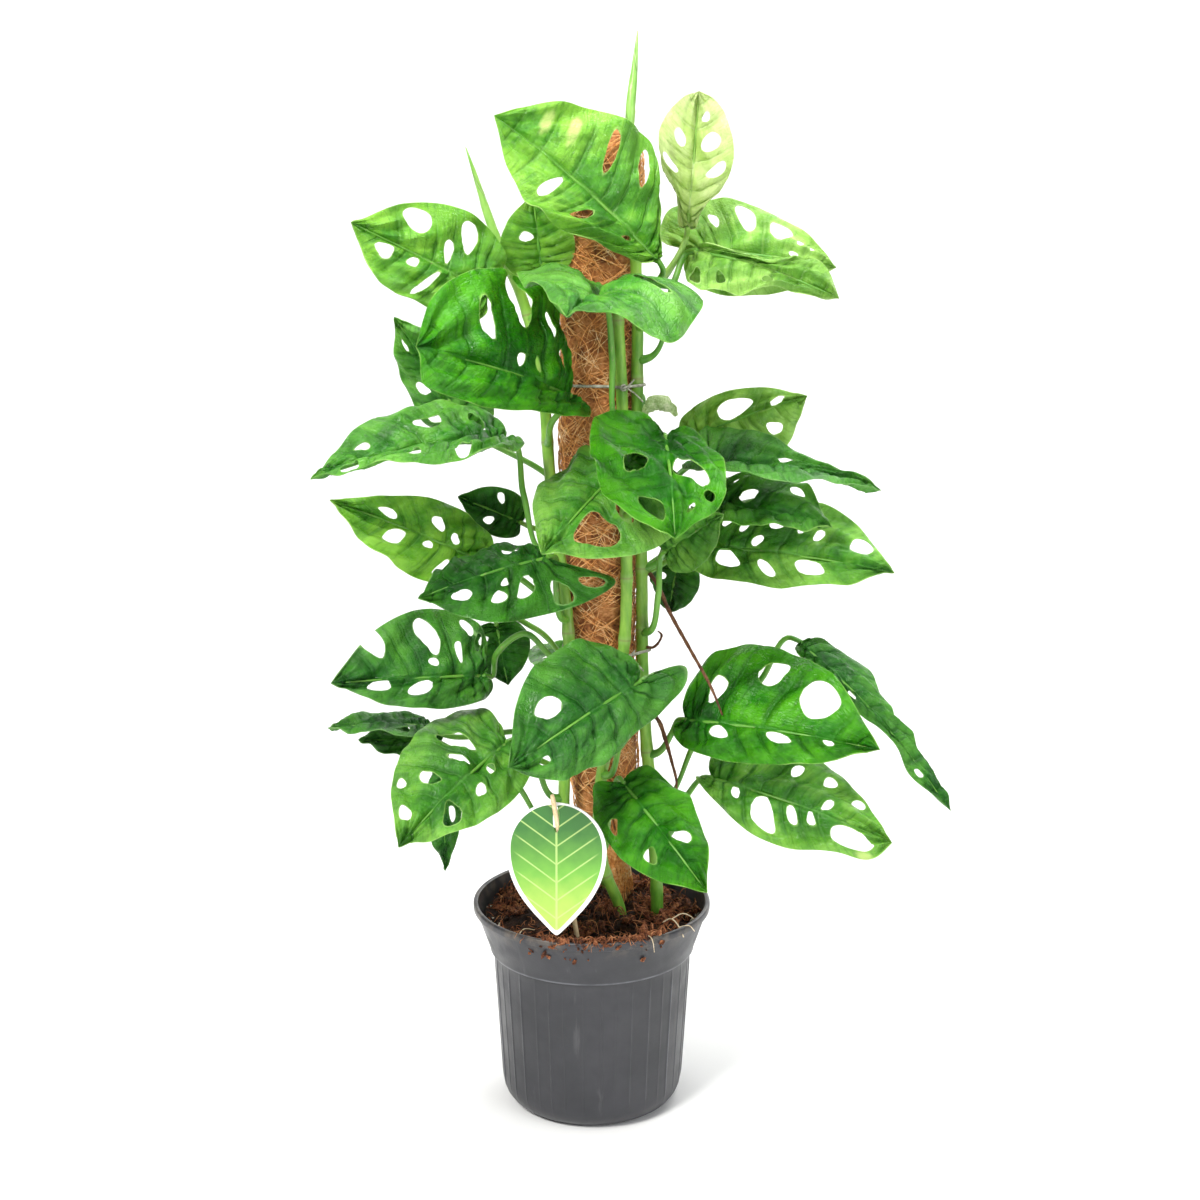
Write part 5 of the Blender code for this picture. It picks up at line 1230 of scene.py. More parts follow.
def bitMaterial(name, stops, scale, relief=0.001, roughness=0.85):  # stops are place and colour
    made, tree, shader = newMaterial(name, roughness, 0.3)
    places = objectPlaces(tree)
    patches = patchesAt(tree, places, scale, 5.0, 0.45)
    colour = ramp(tree, patches, *stops)
    grain = noiseAt(tree, places, scale * 7, 4.0, 0.7)
    feed(tree, shader, Base_Color=colour, Normal=raised(tree, grain, relief))
    return made


soilDark = soilMaterial()
chipBrown = bitMaterial("chipBrown", [(0.0, (0.018, 0.007, 0.004)), (0.4, (0.080, 0.026, 0.011)),
                                      (0.75, (0.24, 0.080, 0.032)), (1.0, (0.46, 0.21, 0.095))], 110.0)
fibreRed = bitMaterial("fibreRed", [(0.0, (0.07, 0.022, 0.009)), (0.5, (0.26, 0.085, 0.032)),
                                    (1.0, (0.55, 0.26, 0.12))], 90.0)
pearlWhite = bitMaterial("pearlWhite", [(0.0, (0.42, 0.34, 0.24)), (1.0, (0.86, 0.82, 0.74))], 200.0)
rootPale = bitMaterial("rootPale", [(0.0, (0.50, 0.36, 0.20)), (1.0, (0.86, 0.74, 0.55))], 160.0)


def scatterLumps(name, count, facets, sizes, spots, rng):
    pickNothing()
    bpy.ops.mesh.primitive_ico_sphere_add(subdivisions=facets, radius=1.0, location=(0, 0, 0))
    piece = bpy.context.object
    piece.name = piece.data.name = name
    copies = repeated(piece, count)
    for i in range(count):
        rough = 1 + rng.normal(0, 0.26, (copies.shape[1], 1))
        size = sizes[0] + (sizes[1] - sizes[0]) * rng.random()**2.2
        stretchBy = np.array([1.0, rng.uniform(0.5, 0.9), rng.uniform(0.35, 0.6)]) * size
        copies[i] = (copies[i] * rough * stretchBy) @ anyTurn(rng).T + np.array(spots(i, size))
    movePlaces(piece, copies.reshape(-1, 3) * mm)
    return piece


def scatterFibres(name, count, segments, sides, maker):  # the maker gives each fibre's route and radius
    rings = segments + 1
    template = addGrid(name, sides, segments)
    at = placesOf(template)
    ring, turn = ringAndTurn(at, rings)
    copies = repeated(template, count)
    for i in range(count):
        middles, radius = maker(i)
        across, up = sweepFrames(middles)
        taper = radius * np.sin(np.linspace(0.06, math.pi - 0.06, rings))**0.35
        taper[[0, -1]] = 0
        copies[i] = (middles[ring] + across[ring] * (np.cos(turn) * taper[ring])[:, None]
                     + up[ring] * (np.sin(turn) * taper[ring])[:, None])
    movePlaces(template, copies.reshape(-1, 3) * mm)
    weld(template, 0.0000002)
    return template


def makeSoil():
    s = soilShape
    wall = potShape["wall"] + 0.3
    neck, foot, neckHeight = potShape["neck"], potShape["foot"], potShape["neckHeight"]
    top = [(s["reach"] * i / s["rings"], s["top"]) for i in range(s["rings"] + 1)]
    floor = potShape["floor"] + 0.3
    down = [(s["reach"] - 0.4, 136.5), (neck - wall + 1.5, neckHeight + 1),
            (neck - wall - 0.4, neckHeight - 2.2), (foot - wall, 17), (foot - wall - 2.2, 10.4),
            (foot - 8.4, floor), (30, floor), (0, floor)]

    def lumpy(turn, reach, height):
        x, y = reach * np.cos(turn), reach * np.sin(turn)
        high = height > 138
        level = np.array([soilHeight(a, b) if c else h for a, b, c, h in zip(x, y, high, height)])
        level[high & (reach < 0.01)] = soilHeight(0, 0)
        return turn, reach, level, np.zeros(len(level))

    soil = makeTurned("soil_mix", top + down, s["segments"], lumpy)
    complete(soil, soilDark, 60, "soil", "soil")
    rng = np.random.default_rng(5)
    rimTop, rimEdge = potShape["height"], potShape["rim"] + 0.2

    def onTop(i, size):
        away, turn = 76.0 * math.sqrt(rng.random()), rng.uniform(0, 2 * math.pi)
        x, y = away * math.cos(turn), away * math.sin(turn)
        return x, y, soilHeight(x, y) + size * rng.uniform(-0.1, 0.45)

    clumps = [onTop(0, 0) for _ in range(soilBits["clumps"])]
    clumps += [(72 * math.sin(turn), -72 * math.cos(turn), 144) for turn in spillPlaces]

    def inClump(i, size):  # piled up, with dark hollows between the piles
        x, y, _ = clumps[rng.integers(0, len(clumps))]
        x, y = x + rng.normal(0, 4.2), y + rng.normal(0, 4.2)
        away = math.hypot(x, y)
        if away > 77:
            x, y = x * 77 / away, y * 77 / away
        return x, y, soilHeight(x, y) + rng.uniform(0, 5.5) * rng.random() + size * 0.2

    def overRim(i, size):  # spilled over the front of the rim
        turn = -math.pi / 2 + spillPlaces[rng.integers(0, len(spillPlaces))] + rng.normal(0, 0.07)
        kind = rng.random()
        if kind < spillShares[0]:
            away, z = rng.uniform(75, 82), rng.uniform(144, 151) + size * 0.3
        elif kind < spillShares[1]:
            away, z = rng.uniform(80.5, 85), rimTop + size * 0.35
        elif kind < spillShares[2]:
            away, z = rimEdge + size * 0.3, rng.uniform(144, 150.5)
        else:
            z = rng.uniform(134, 144)
            away = np.interp(z, flareHeights, flareReach) + size * 0.4
        return away * math.cos(turn), away * math.sin(turn), z

    def nearRim(i, size):  # pale grains, most of them by the left and right rim
        turn = rng.choice([math.pi * 0.98, 0.05, -0.5, 3.5]) + rng.normal(0, 0.3)
        away = 77 - 9 * rng.random()**2
        x, y = away * math.cos(turn), away * math.sin(turn)
        return x, y, soilHeight(x, y) + size * 0.7

    for name, count, facets, sizes, spots, made in (
            ("soil_crumbs", soilBits["crumbs"], 1, (0.9, 3.6), onTop, soilDark),
            ("soil_chips", soilBits["chips"], 2, (1.2, 5.2), inClump, chipBrown),
            ("soil_spilled", soilBits["spilled"], 2, (0.7, 3.0), overRim, chipBrown),
            ("soil_pearls", soilBits["pearls"], 2, (0.6, 1.9), nearRim, pearlWhite)):
        bits = scatterLumps(name, count, facets, sizes, spots, rng)
        dress(bits, made)
        settle(bits, "soil")

    def fibre(i):
        spill = i < soilBits["rimFibres"]
        turn = -math.pi / 2 + rng.normal(0, 0.35) if spill else rng.uniform(0, 2 * math.pi)
        away = rng.uniform(74, 84) if spill else 74 * math.sqrt(rng.random())
        x, y = away * math.cos(turn), away * math.sin(turn)
        piled = not spill and i % 3 > 0
        if piled:
            x, y, _ = inClump(i, 0)
        heading, bend = rng.uniform(0, 2 * math.pi), rng.normal(0, 0.8)
        long = rng.uniform(4, 12) if spill else rng.uniform(5, 20)
        t = np.linspace(0, 1, 8)
        directions = heading + bend * t * 2
        px = x + np.cumsum(np.cos(directions)) * long / 8
        py = y + np.cumsum(np.sin(directions)) * long / 8
        if not spill:
            inside = np.minimum(1, s["inside"] / np.maximum(np.hypot(px, py), 1))
            px, py = px * inside, py * inside
        ground = [soilHeight(a, b) if math.hypot(a, b) < 77.5
                  else (rimTop + 0.2 if math.hypot(a, b) < rimEdge else 148) for a, b in zip(px, py)]
        rise = rng.uniform(0.6, 6.5 if piled else 3.2) * np.sin(t * math.pi) + (2.0 if piled else 0.5)
        smoothGround = np.convolve(np.pad(ground, 1, mode="edge"), [0.3, 0.4, 0.3], "valid")
        return np.column_stack([px, py, smoothGround + rise]), rng.uniform(0.14, 0.40)

    fibres = scatterFibres("soil_fibres", soilBits["fibres"], 7, 4, fibre)
    complete(fibres, fibreRed, 60, "soil")


makeSoil()


def paleRoots():  # thin roots that come out of the mix at the front
    runs = [  # x, y, z, radius
        [(50, -34, 146, 0.45), (56, -42, 152, 0.5), (61, -52, 150, 0.45), (64, -58, 145, 0.35)],
        [(56, -42, 151.8, 0.4), (64, -42, 156, 0.4), (71, -40, 152, 0.3), (75, -38, 147, 0.2)],
        [(61, -52, 150, 0.4), (68, -52, 151, 0.35), (72, -50, 146, 0.3)],
        [(-20, -60, 143, 0.4), (-8, -66, 147, 0.45), (6, -68, 146, 0.4), (14, -66, 142, 0.3)],
        [(24, -58, 143, 0.35), (33, -66, 148, 0.4), (40, -76, 153, 0.35), (42, -84, 152.4, 0.3),
         (43, -87, 146, 0.2)],
        [(-40, -40, 143, 0.3), (-48, -50, 147, 0.35), (-52, -56, 143, 0.3)],
    ]
    made = [makeTube(f"soil_root_{i}", smoothRoute(run, 26), 8) for i, run in enumerate(runs)]
    roots = joinPieces(made[0], made[1:])
    roots.name = roots.data.name = "soil_roots"
    complete(roots, rootPale, 60, "soil")


paleRoots()
print("soil done")


# pole
stakeRoute = [(23, 18, 14), (21.5, 16.5, 148), (11, 10, 222), (7, 8, 300), (5, 8, 480),
               (6, 8, 600), (8.5, 8, 650)]
coirRoute = [  # x, y, z, radius
    (11, 10, 219, 22.5), (9.5, 9.3, 240, 23.5), (7, 8, 300, 24.2), (6, 8, 400, 25.6), (5, 8, 480, 26.6),
    (6, 8, 600, 26.6), (8.5, 8, 650, 25.5), (10, 8, 676, 23.5), (10.5, 8, 687, 19.0)]

poleBuild = dict(sides=72, rings=230, lump=0.9, bumps=14, strands=2600, bundles=260, tufts=300, reach=1.1,
                 stakeRadius=7.0, footFrom=141, footStrands=240)


def coirMaterial(name, stops, scale):
    made, tree, shader = newMaterial(name, 0.78, 0.3)
    places = objectPlaces(tree)
    patches = patchesAt(tree, places, scale, 6.0, 0.5)
    colour = ramp(tree, patches, *stops)
    threads = noiseAt(tree, mapped(tree, places, (260, 260, 900), (0.5, 0.6, 0)), 1.0, 4.0, 0.6, 1.2)
    feed(tree, shader, Base_Color=colour, Normal=raised(tree, threads, 0.0015, 0.9))
    return made


coirCore = coirMaterial("coirCore", [(0.0, (0.10, 0.030, 0.010)), (0.5, (0.42, 0.155, 0.045)),
                                     (1.0, (0.66, 0.31, 0.115))], 70.0)
coirStrand = coirMaterial("coirStrand", [(0.0, (0.43, 0.135, 0.032)), (0.30, (0.77, 0.32, 0.090)),
                                         (0.65, (0.92, 0.52, 0.21)), (1.0, (0.98, 0.77, 0.47))], 90.0)


def around(middle, reach, angle, height):  # places about a route's own middle
    return np.column_stack([middle[..., 0] + reach * np.cos(angle), middle[..., 1] + reach * np.sin(angle),
                            height])


def woodMaterial(name, roughness, specular, turn, scale, noiseLook, stops, relief):  # the turn comes first
    made, tree, shader = newMaterial(name, roughness, specular)
    places = objectPlaces(tree)
    if turn:
        places = mapped(tree, places, (1, 1, 1), turn)
    grain = noiseAt(tree, mapped(tree, places, scale), 1.0, *noiseLook)
    feed(tree, shader, Base_Color=ramp(tree, grain, *stops), Normal=raised(tree, grain, *relief))
    return made


def makePole():
    route = smoothRoute(coirRoute, poleBuild["rings"])
    rng = np.random.default_rng(21)
    bumps = [(rng.integers(1, 9), rng.uniform(0.02, 0.30), rng.uniform(0, 6.28))
             for _ in range(poleBuild["bumps"])]

    def lumpy(turn, travelled):
        swell = sum(np.sin(k * turn + f * travelled + p) for k, f, p in bumps) / len(bumps)
        return 1.0 + swell * poleBuild["lump"] / 22 - 0.03

    core = makeTube("coir_core", route, poleBuild["sides"], lumpy)
    complete(core, coirCore, 60, "coir", "coir_wrap")

    low, high = route[0, 2], route[-1, 2]

    def strand(i):
        z, turn = rng.uniform(low + 2, high - 2), rng.uniform(0, 2 * math.pi)
        pitch = rng.choice([-1, 1]) * rng.uniform(0.15, 1.25)
        long, curl = rng.uniform(14, 46), rng.normal(0, 0.9)
        bundle = i < poleBuild["bundles"]  # long and thick, to show the wrap's run
        if bundle:
            pitch = rng.choice([-0.55, 0.6]) + rng.normal(0, 0.1)
            long, curl = rng.uniform(35, 70), rng.normal(0, 0.3)
        t = np.linspace(-0.5, 0.5, 9)
        heading = pitch + curl * t
        dz = np.cumsum(np.sin(heading)) * long / 9
        da = np.cumsum(np.cos(heading)) * long / 9
        height = np.clip(z + dz, low + 0.5, high - 0.5)
        share = (height - low) / (high - low) * (len(route) - 1)
        k = np.clip(share.astype(int), 0, len(route) - 2)
        row = route[k] + (route[k + 1] - route[k]) * (share - k)[:, None]
        lift = rng.uniform(-0.1, poleBuild["reach"]) + rng.uniform(0, 0.9) * np.cos(t * math.pi)**2
        reach = row[:, 3] + lift
        angle = turn + da / row[:, 3]
        return around(row, reach, angle, height), rng.uniform(*((0.32, 0.55) if bundle else (0.17, 0.36)))

    strands = scatterFibres("coir_strands", poleBuild["strands"], 8, 4, strand)
    complete(strands, coirStrand, 60, "coir")

    def tuft(i):  # loose ends that stand off the wrap
        z, turn = rng.uniform(low + 2, high - 1), rng.uniform(0, 2 * math.pi)
        share = (z - low) / (high - low) * (len(route) - 1)
        row = route[int(share)]
        t = np.linspace(0, 1, 6)
        out = rng.uniform(1.5, 4.5)
        swing, climb = rng.normal(0, 0.35), rng.normal(0, 6)
        angle = turn + swing * t
        reach = row[3] + out * t**1.5
        return around(row, reach, angle, z + climb * t), rng.uniform(0.09, 0.16)

    tufts = scatterFibres("coir_tufts", poleBuild["tufts"], 5, 3, tuft)
    dress(tufts, coirStrand)
    settle(tufts, "coir")

    stakeRows = [(x, y, z, poleBuild["stakeRadius"]) for x, y, z in stakeRoute]
    foot = smoothRoute(stakeRows, 120)
    foot = foot[(foot[:, 2] > poleBuild["footFrom"]) & (foot[:, 2] < low + 6)]

    def footStrand(i):  # loose coir down the stake
        k = rng.integers(0, len(foot) - 12)
        span = rng.integers(8, min(40, len(foot) - k))
        rows = foot[np.linspace(k, k + span, 9).astype(int)]
        angle = rng.uniform(0, 2 * math.pi) + rng.normal(0, 0.9) * np.linspace(0, 1, 9)
        reach = poleBuild["stakeRadius"] + 0.1 + rng.uniform(0, 1.6)
        reach = reach + 0.8 * np.sin(np.linspace(0, math.pi, 9) * rng.integers(1, 4))
        height = np.linspace(rows[0, 2], rows[-1, 2], 9)
        return around(rows, reach, angle, height), rng.uniform(0.25, 0.55)

    loose = scatterFibres("coir_foot", poleBuild["footStrands"], 8, 4, footStrand)
    complete(loose, coirStrand, 60, "coir")

    stake = makeTube("stake_wood", smoothRoute(stakeRows, 90), 28,
                     lambda turn, travelled: 1 + 0.02 * np.sin(turn * 7 + travelled * 0.05)
                     + 0.015 * np.sin(turn * 13) - 0.01)
    dress(stake, woodMaterial("stakeWood", 0.8, 0.3, None, (420, 420, 22), (5.0, 0.65, 0.5),
                              [(0.25, (0.10, 0.036, 0.013)), (0.5, (0.34, 0.14, 0.050)),
                               (0.8, (0.56, 0.28, 0.12))], (0.0012, 0.9)))
    shadeSoft(stake, 60)
    settle(stake, "stake_wood", "stake")


makePole()
print("pole done")


# ties
ties = {"tie_upper": (523, ("stem_right", "stem_front", "stem_back")),
        "tie_lower": (337, ("stem_right", "stem_front", "stem_left", "stem_back"))}
tieShape = dict(radius=0.7, strand=0.74, pitch=4.6, gap=0.3, step=0.55)


def hull(points):
    points = sorted(map(tuple, points))
    corners = []
    for run in (points, points[::-1]):
        half = []
        for x, y in run:
            while len(half) > 1 and ((half[-1][0] - half[-2][0]) * (y - half[-2][1])
                                     - (half[-1][1] - half[-2][1]) * (x - half[-2][0])) <= 0:
                half.pop()
            half.append((x, y))
        corners += half[:-1]
    return corners


twineTan = bitMaterial("twineTan", [(0.0, (0.17, 0.16, 0.12)), (0.5, (0.36, 0.36, 0.28)),
                                    (1.0, (0.60, 0.60, 0.52))], 260.0, 0.0006, 0.6)


def twisted(name, middles, strands, spread, radius, pitch):  # strands laid round one another
    made = []
    steps = np.linalg.norm(np.diff(middles, axis=0), axis=1)
    travelled = np.concatenate([[0], np.cumsum(steps)])
    across, up = sweepFrames(middles)
    for i in range(strands):
        angle = travelled / pitch * 2 * math.pi + 2 * math.pi * i / strands
        centre = middles + spread * (across * np.cos(angle)[:, None] + up * np.sin(angle)[:, None])
        rows = np.column_stack([centre, np.full(len(centre), radius)])
        made.append(makeTube(f"{name}_{i}", rows, 6))
    return made


def makeTie(name, height, held):
    circles = [rowAt(smoothRoute(coirRoute, routeRows), height)[0]]
    circles += [rowAt(stemRows(stem), height)[0] for stem in held]
    points = []
    for x, y, _, radius in circles:
        reach = radius + tieShape["radius"] + tieShape["gap"]
        points += [(x + reach * math.cos(a), y + reach * math.sin(a))
                   for a in np.linspace(0, 2 * math.pi, 24, endpoint=False)]
    loop = np.array(hull(points))
    start = int(np.argmin(loop[:, 1] - 0.4 * loop[:, 0]))
    loop = np.roll(loop, -start, axis=0)
    closed = np.vstack([loop, loop[:1]])
    steps = np.concatenate([[0], np.cumsum(np.linalg.norm(np.diff(closed, axis=0), axis=1))])
    spots = np.linspace(0, steps[-1], int(steps[-1] / tieShape["step"]))
    middles = np.column_stack([np.interp(spots, steps, closed[:, 0]), np.interp(spots, steps, closed[:, 1]),
                               height + 0.35 * np.sin(spots * 0.11)])
    made = twisted(name + "_strand", middles, 3, 0.36, tieShape["strand"], tieShape["pitch"])
    x, y = loop[0]
    turn = np.linspace(0, 3.4 * math.pi, 60)
    knot = np.column_stack([x + 1.9 * np.cos(turn), y - 0.9 + 1.1 * np.sin(turn * 2),
                            height + 1.8 * np.sin(turn)])
    made += twisted(name + "_knot", knot, 2, 0.3, 0.4, 3.0)
    for i, (dx, dy, dz) in enumerate(((13, -3, -9), (7, -4, 6))):
        t = np.linspace(0, 1, 34)[:, None]
        end = np.array([x, y - 1.2, height]) + t * np.array([dx, dy, 0]) + np.array([0, 0, dz]) * t**1.7
        made += twisted(f"{name}_end_{i}", end, 2, 0.3, 0.36, 3.2)
    tie = joinPieces(made[0], made[1:])
    tie.name = tie.data.name = name + "_twine"
    complete(tie, twineTan, 60, "twine", name)


for tieName, (tieHeight, tieStems) in ties.items():
    makeTie(tieName, tieHeight, tieStems)
print("ties done")


# new leaves, aerial roots, dry sheath
newLeafRoutes = {  # x, y, z, radius
    "new_leaf_top": [(25, -17.5, 690.7, 3.0), (26, -16, 705, 3.2), (28, -13, 725, 2.4),
                     (29.5, -10, 742, 1.2), (30.5, -8, 753, 0.35)],
    "new_leaf_left": [(-60.2, 1.9, 611.5, 2.8), (-66, 3, 627, 3.1), (-74, 4, 651, 2.1),
                      (-79, 4, 667, 1.2), (-83, 4, 679, 0.35)],
}
rootRoutes = {
    "aerial_root_long": [(40.2, -6.7, 392, 1.5), (44, -8, 387, 1.5), (53, -13, 368, 1.4), (68, -23, 342, 1.2),
                         (83, -33, 316, 1.0), (90, -37, 299, 0.6)],
    "aerial_root_low": [(42.4, -8.5, 292, 1.4), (46, -12, 289, 1.5), (52, -21, 275, 1.4), (56, -28, 262, 1.1),
                        (59, -31, 250, 0.9), (59, -30, 241, 0.5)],
    "aerial_root_curled": [(39, -7.2, 339.5, 1.0), (43, -13, 341, 1.0), (47, -16, 346, 0.9),
                           (48.5, -13, 350, 0.8), (46, -10.5, 352, 0.5)],
    "dry_sheath": [(35.6, -14.6, 502, 1.0), (38, -21, 508, 2.6), (44, -25, 513, 3.3), (51, -25, 511, 3.2),
                   (57, -23, 504, 1.4)],
}
newLeafTurns = 0.022  # of the rolled blade, for each mm


def newLeafMaterial():
    made, tree, shader = newMaterial("newLeafPale", 0.36, 0.5)
    own, places = ownMap(tree), objectPlaces(tree)
    roll = addNode(tree, "ShaderNodeSeparateXYZ", {0: own})
    wind = plus(tree, roll.outputs[0], times(tree, roll.outputs[1], newLeafTurns))
    seam = calc(tree, "ABSOLUTE", minus(tree, calc(tree, "FRACT", wind), 0.5))
    patches = patchesAt(tree, mapped(tree, places, (1, 1, 0.3)), 80.0, 4.0, 0.4)
    colour = mixed(tree, patches, rgb((0.16, 0.40, 0.05)), rgb((0.36, 0.60, 0.15)))
    colour = mixed(tree, remap(tree, seam, 0.0, 0.05, 0.8, 0.0), colour, rgb((0.60, 0.76, 0.34)))
    # painted shade: a darker band on both sides of the pale edge line, where the rolled edge lies over the
    # turn below
    colour = mixed(tree, remap(tree, seam, 0.05, 0.11, 0.4, 0.0), colour, rgb((0.05, 0.20, 0.02)))
    feed(tree, shader, Base_Color=colour, Normal=raised(tree, remap(tree, seam, 0.0, 0.12), 0.0006, 0.8))
    return made


rootBrown = bitMaterial("rootBrown", [(0.0, (0.045, 0.016, 0.008)), (0.5, (0.13, 0.05, 0.022)),
                                      (1.0, (0.26, 0.13, 0.06))], 150.0, 0.0008, 0.7)
sheathTan = bitMaterial("sheathTan", [(0.0, (0.22, 0.33, 0.10)), (0.5, (0.45, 0.60, 0.26)),
                                      (1.0, (0.74, 0.80, 0.52))], 150.0, 0.0010, 0.45)
newLeafPale = newLeafMaterial()


def rolledShape(turn, travelled):  # the blade's free edge winds up it
    return 1 + 0.13 * ((turn / (2 * math.pi) + travelled * newLeafTurns) % 1.0 - 0.5)


def sheathShape(turn, travelled):  # crumpled, and widest in its middle
    return (1.25 + 0.34 * np.sin(3 * turn + travelled * 0.45) + 0.16 * np.sin(7 * turn)
            + 0.18 * np.sin(travelled * 0.9 + 2 * np.sin(turn)) + 0.60 * np.exp(-((travelled - 21) / 7)**2))


def rootShape(phase):
    return lambda turn, travelled: (1 + 0.10 * np.sin(travelled * 1.9 + phase) * np.sin(2 * turn + phase)
                                    + 0.07 * np.sin(travelled * 0.7))


for partName, route in newLeafRoutes.items():
    rolled = makeTube(partName + "_rolled", smoothRoute(route, 60), 28, rolledShape)
    complete(rolled, newLeafPale, 50, "new_leaf", partName)

for partName, route in rootRoutes.items():
    papery = partName == "dry_sheath"
    phase = np.random.default_rng(len(partName)).uniform(0, 6.28)
    shape, squeeze = (sheathShape, 0.45) if papery else (rootShape(phase), 1.0)
    grown = makeTube(partName + "_grown", smoothRoute(route, 70), 16, shape, squeeze)
    dress(grown, sheathTan if papery else rootBrown)
    shadeSoft(grown, 60)
    settle(grown, "aerial_root", partName)
print("roots done")


# label
labelShape = dict(stickFrom=(-5, -42, 108), stickTo=(-26, -83, 257), stickRadius=1.6,
                  hole=(-23.4, -77.8, 238.1), width=68.0, above=12.0, below=82.0,
                  slot=(2.3, 9.5), thickness=0.7, border=3.4, borderEdge=0.25, wedge=0.8,
                  around=120, rings=26, turned=-4, bowAlong=(1.6, 60), bowAcross=(1.1, 38))


def labelEdge(angle):
    s = labelShape
    middle = s["above"] - s["width"] / 2
    x, z = math.sin(angle) * s["width"] / 2, math.cos(angle)
    if z < 0:
        x *= 1 - 0.55 * z**4 * abs(math.cos(angle / 2 - math.pi / 2))**2
        return x * (1 - 0.35 * z * z), middle + z * (s["below"] + middle)
    return x, middle + z * s["width"] / 2


def labelMaterial():
    made, tree, shader = newMaterial("labelPrint", 0.34, 0.5)
    split = addNode(tree, "ShaderNodeSeparateXYZ", {0: ownMap(tree)})
    x, z = split.outputs[0], split.outputs[1]  # in centimetres from the slot
    side = calc(tree, "ABSOLUTE", x)
    fall = remap(tree, z, -7.5, 0.5)
    soft = noiseAt(tree, ownMap(tree), 0.9, 3.0)
    depth = plus(tree, times(tree, fall, 0.75), times(tree, soft, 0.25))
    base = ramp(tree, depth,
                (0.10, (0.42, 0.60, 0.10)), (0.45, (0.16, 0.42, 0.05)), (0.85, (0.035, 0.16, 0.025)))
    ribs = plus(tree, z, times(tree, side, -0.75))
    part = calc(tree, "FRACT", times(tree, ribs, 0.78))
    near = calc(tree, "ABSOLUTE", minus(tree, part, 0.5))
    lines = remap(tree, near, 0.02, 0.07, 1.0, 0.0)
    lines = times(tree, lines, remap(tree, side, 2.2, 3.0, 1.0, 0.0))
    middle = remap(tree, side, 0.04, 0.10, 1.0, 0.0)
    colour = mixed(tree, times(tree, calc(tree, "MAXIMUM", lines, middle), 0.7), base,
                   rgb((0.50, 0.68, 0.22)))
    border, soften = labelShape["border"], labelShape["borderEdge"]
    white = remap(tree, carried(tree, "edge"), border - soften, border + soften, 1.0, 0.0)
    colour = mixed(tree, white, colour, rgb((0.88, 0.88, 0.86)))
    relief = noiseAt(tree, objectPlaces(tree), 60.0, 2.0)
    feed(tree, shader, Base_Color=colour, Normal=raised(tree, relief, 0.0008, 0.3))
    return made


def makeLabel():
    s = labelShape
    card = addGrid("label_print", s["around"], s["rings"])
    at = placesOf(card)
    turn = (at[:, 0] + 1) * math.pi
    share = (at[:, 1] + 1) / 2
    outer = np.array([labelEdge(a % (2 * math.pi)) for a in turn])
    inner = np.column_stack([s["slot"][0] * np.sin(turn), s["slot"][1] * np.cos(turn)])
    flat = inner + (outer - inner) * share[:, None]
    edge = (1 - share) * np.linalg.norm(outer - inner, axis=1)
    verts, _ = cornersOf(card)
    setMap(card, flat[verts] / 10)
    setValue(card, "edge", edge)
    (bow, high), (cup, wide) = s["bowAlong"], s["bowAcross"]
    bow = bow * (flat[:, 1] / high)**2 + cup * (flat[:, 0] / wide)**2
    turnZ = math.radians(s["turned"])
    local = np.column_stack([flat[:, 0], -bow, flat[:, 1]])
    x = local[:, 0] * math.cos(turnZ) - local[:, 1] * math.sin(turnZ)
    y = local[:, 0] * math.sin(turnZ) + local[:, 1] * math.cos(turnZ)
    movePlaces(card, (np.column_stack([x, y, local[:, 2]]) + np.array(s["hole"])) * mm)
    weld(card, 0.00001, outward=False)
    normals = np.array([p.normal[:] for p in card.data.polygons])
    if normals[:, 1].mean() > 0:
        card.data.flip_normals()
    thicken(card, s["thickness"], 0.0)
    white, tree, shader = newMaterial("labelBack", 0.45, 0.4)
    paper = noiseAt(tree, objectPlaces(tree), 120.0, 3.0)
    feed(tree, shader, Base_Color=mixed(tree, paper, rgb((0.80, 0.80, 0.78)), rgb((0.88, 0.88, 0.86))),
         Normal=raised(tree, paper, 0.0004, 0.3))
    dress(card, labelMaterial(), white)
    shadeSoft(card, 40)
    settle(card, "label_card", "label_card")

    start, end = np.array(s["stickFrom"], float), np.array(s["stickTo"], float)
    rows = [(*(start + (end - start) * t), s["stickRadius"] * (1 if t < 0.985 else 0.8))
            for t in np.linspace(0, 1, 60)]
    stick = makeTube("label_peg", rows, 24, lambda turn, travelled: (
        1 + 0.02 * np.sin(turn * 5 + travelled * 0.1)
        + s["wedge"] * np.cos(turn)**2 * (1 - ease((travelled - 80) / 45))))
    dress(stick, woodMaterial("pegWood", 0.6, 0.35, (0.28, 0.13, 0), (700, 700, 30), (4.0, 0.6, 0.3),
                              [(0.3, (0.62, 0.43, 0.22)), (0.6, (0.84, 0.67, 0.42)),
                               (0.85, (0.92, 0.79, 0.56))], (0.0004, 0.6)))
    shadeSoft(stick, 60)
    settle(stick, "label_wood", "label_stick")


makeLabel()
print("label done")


# stage, light and camera
stageShape = dict(front=-3.2, back=1.9, width=3.6, wall=4.5, bend=0.9)


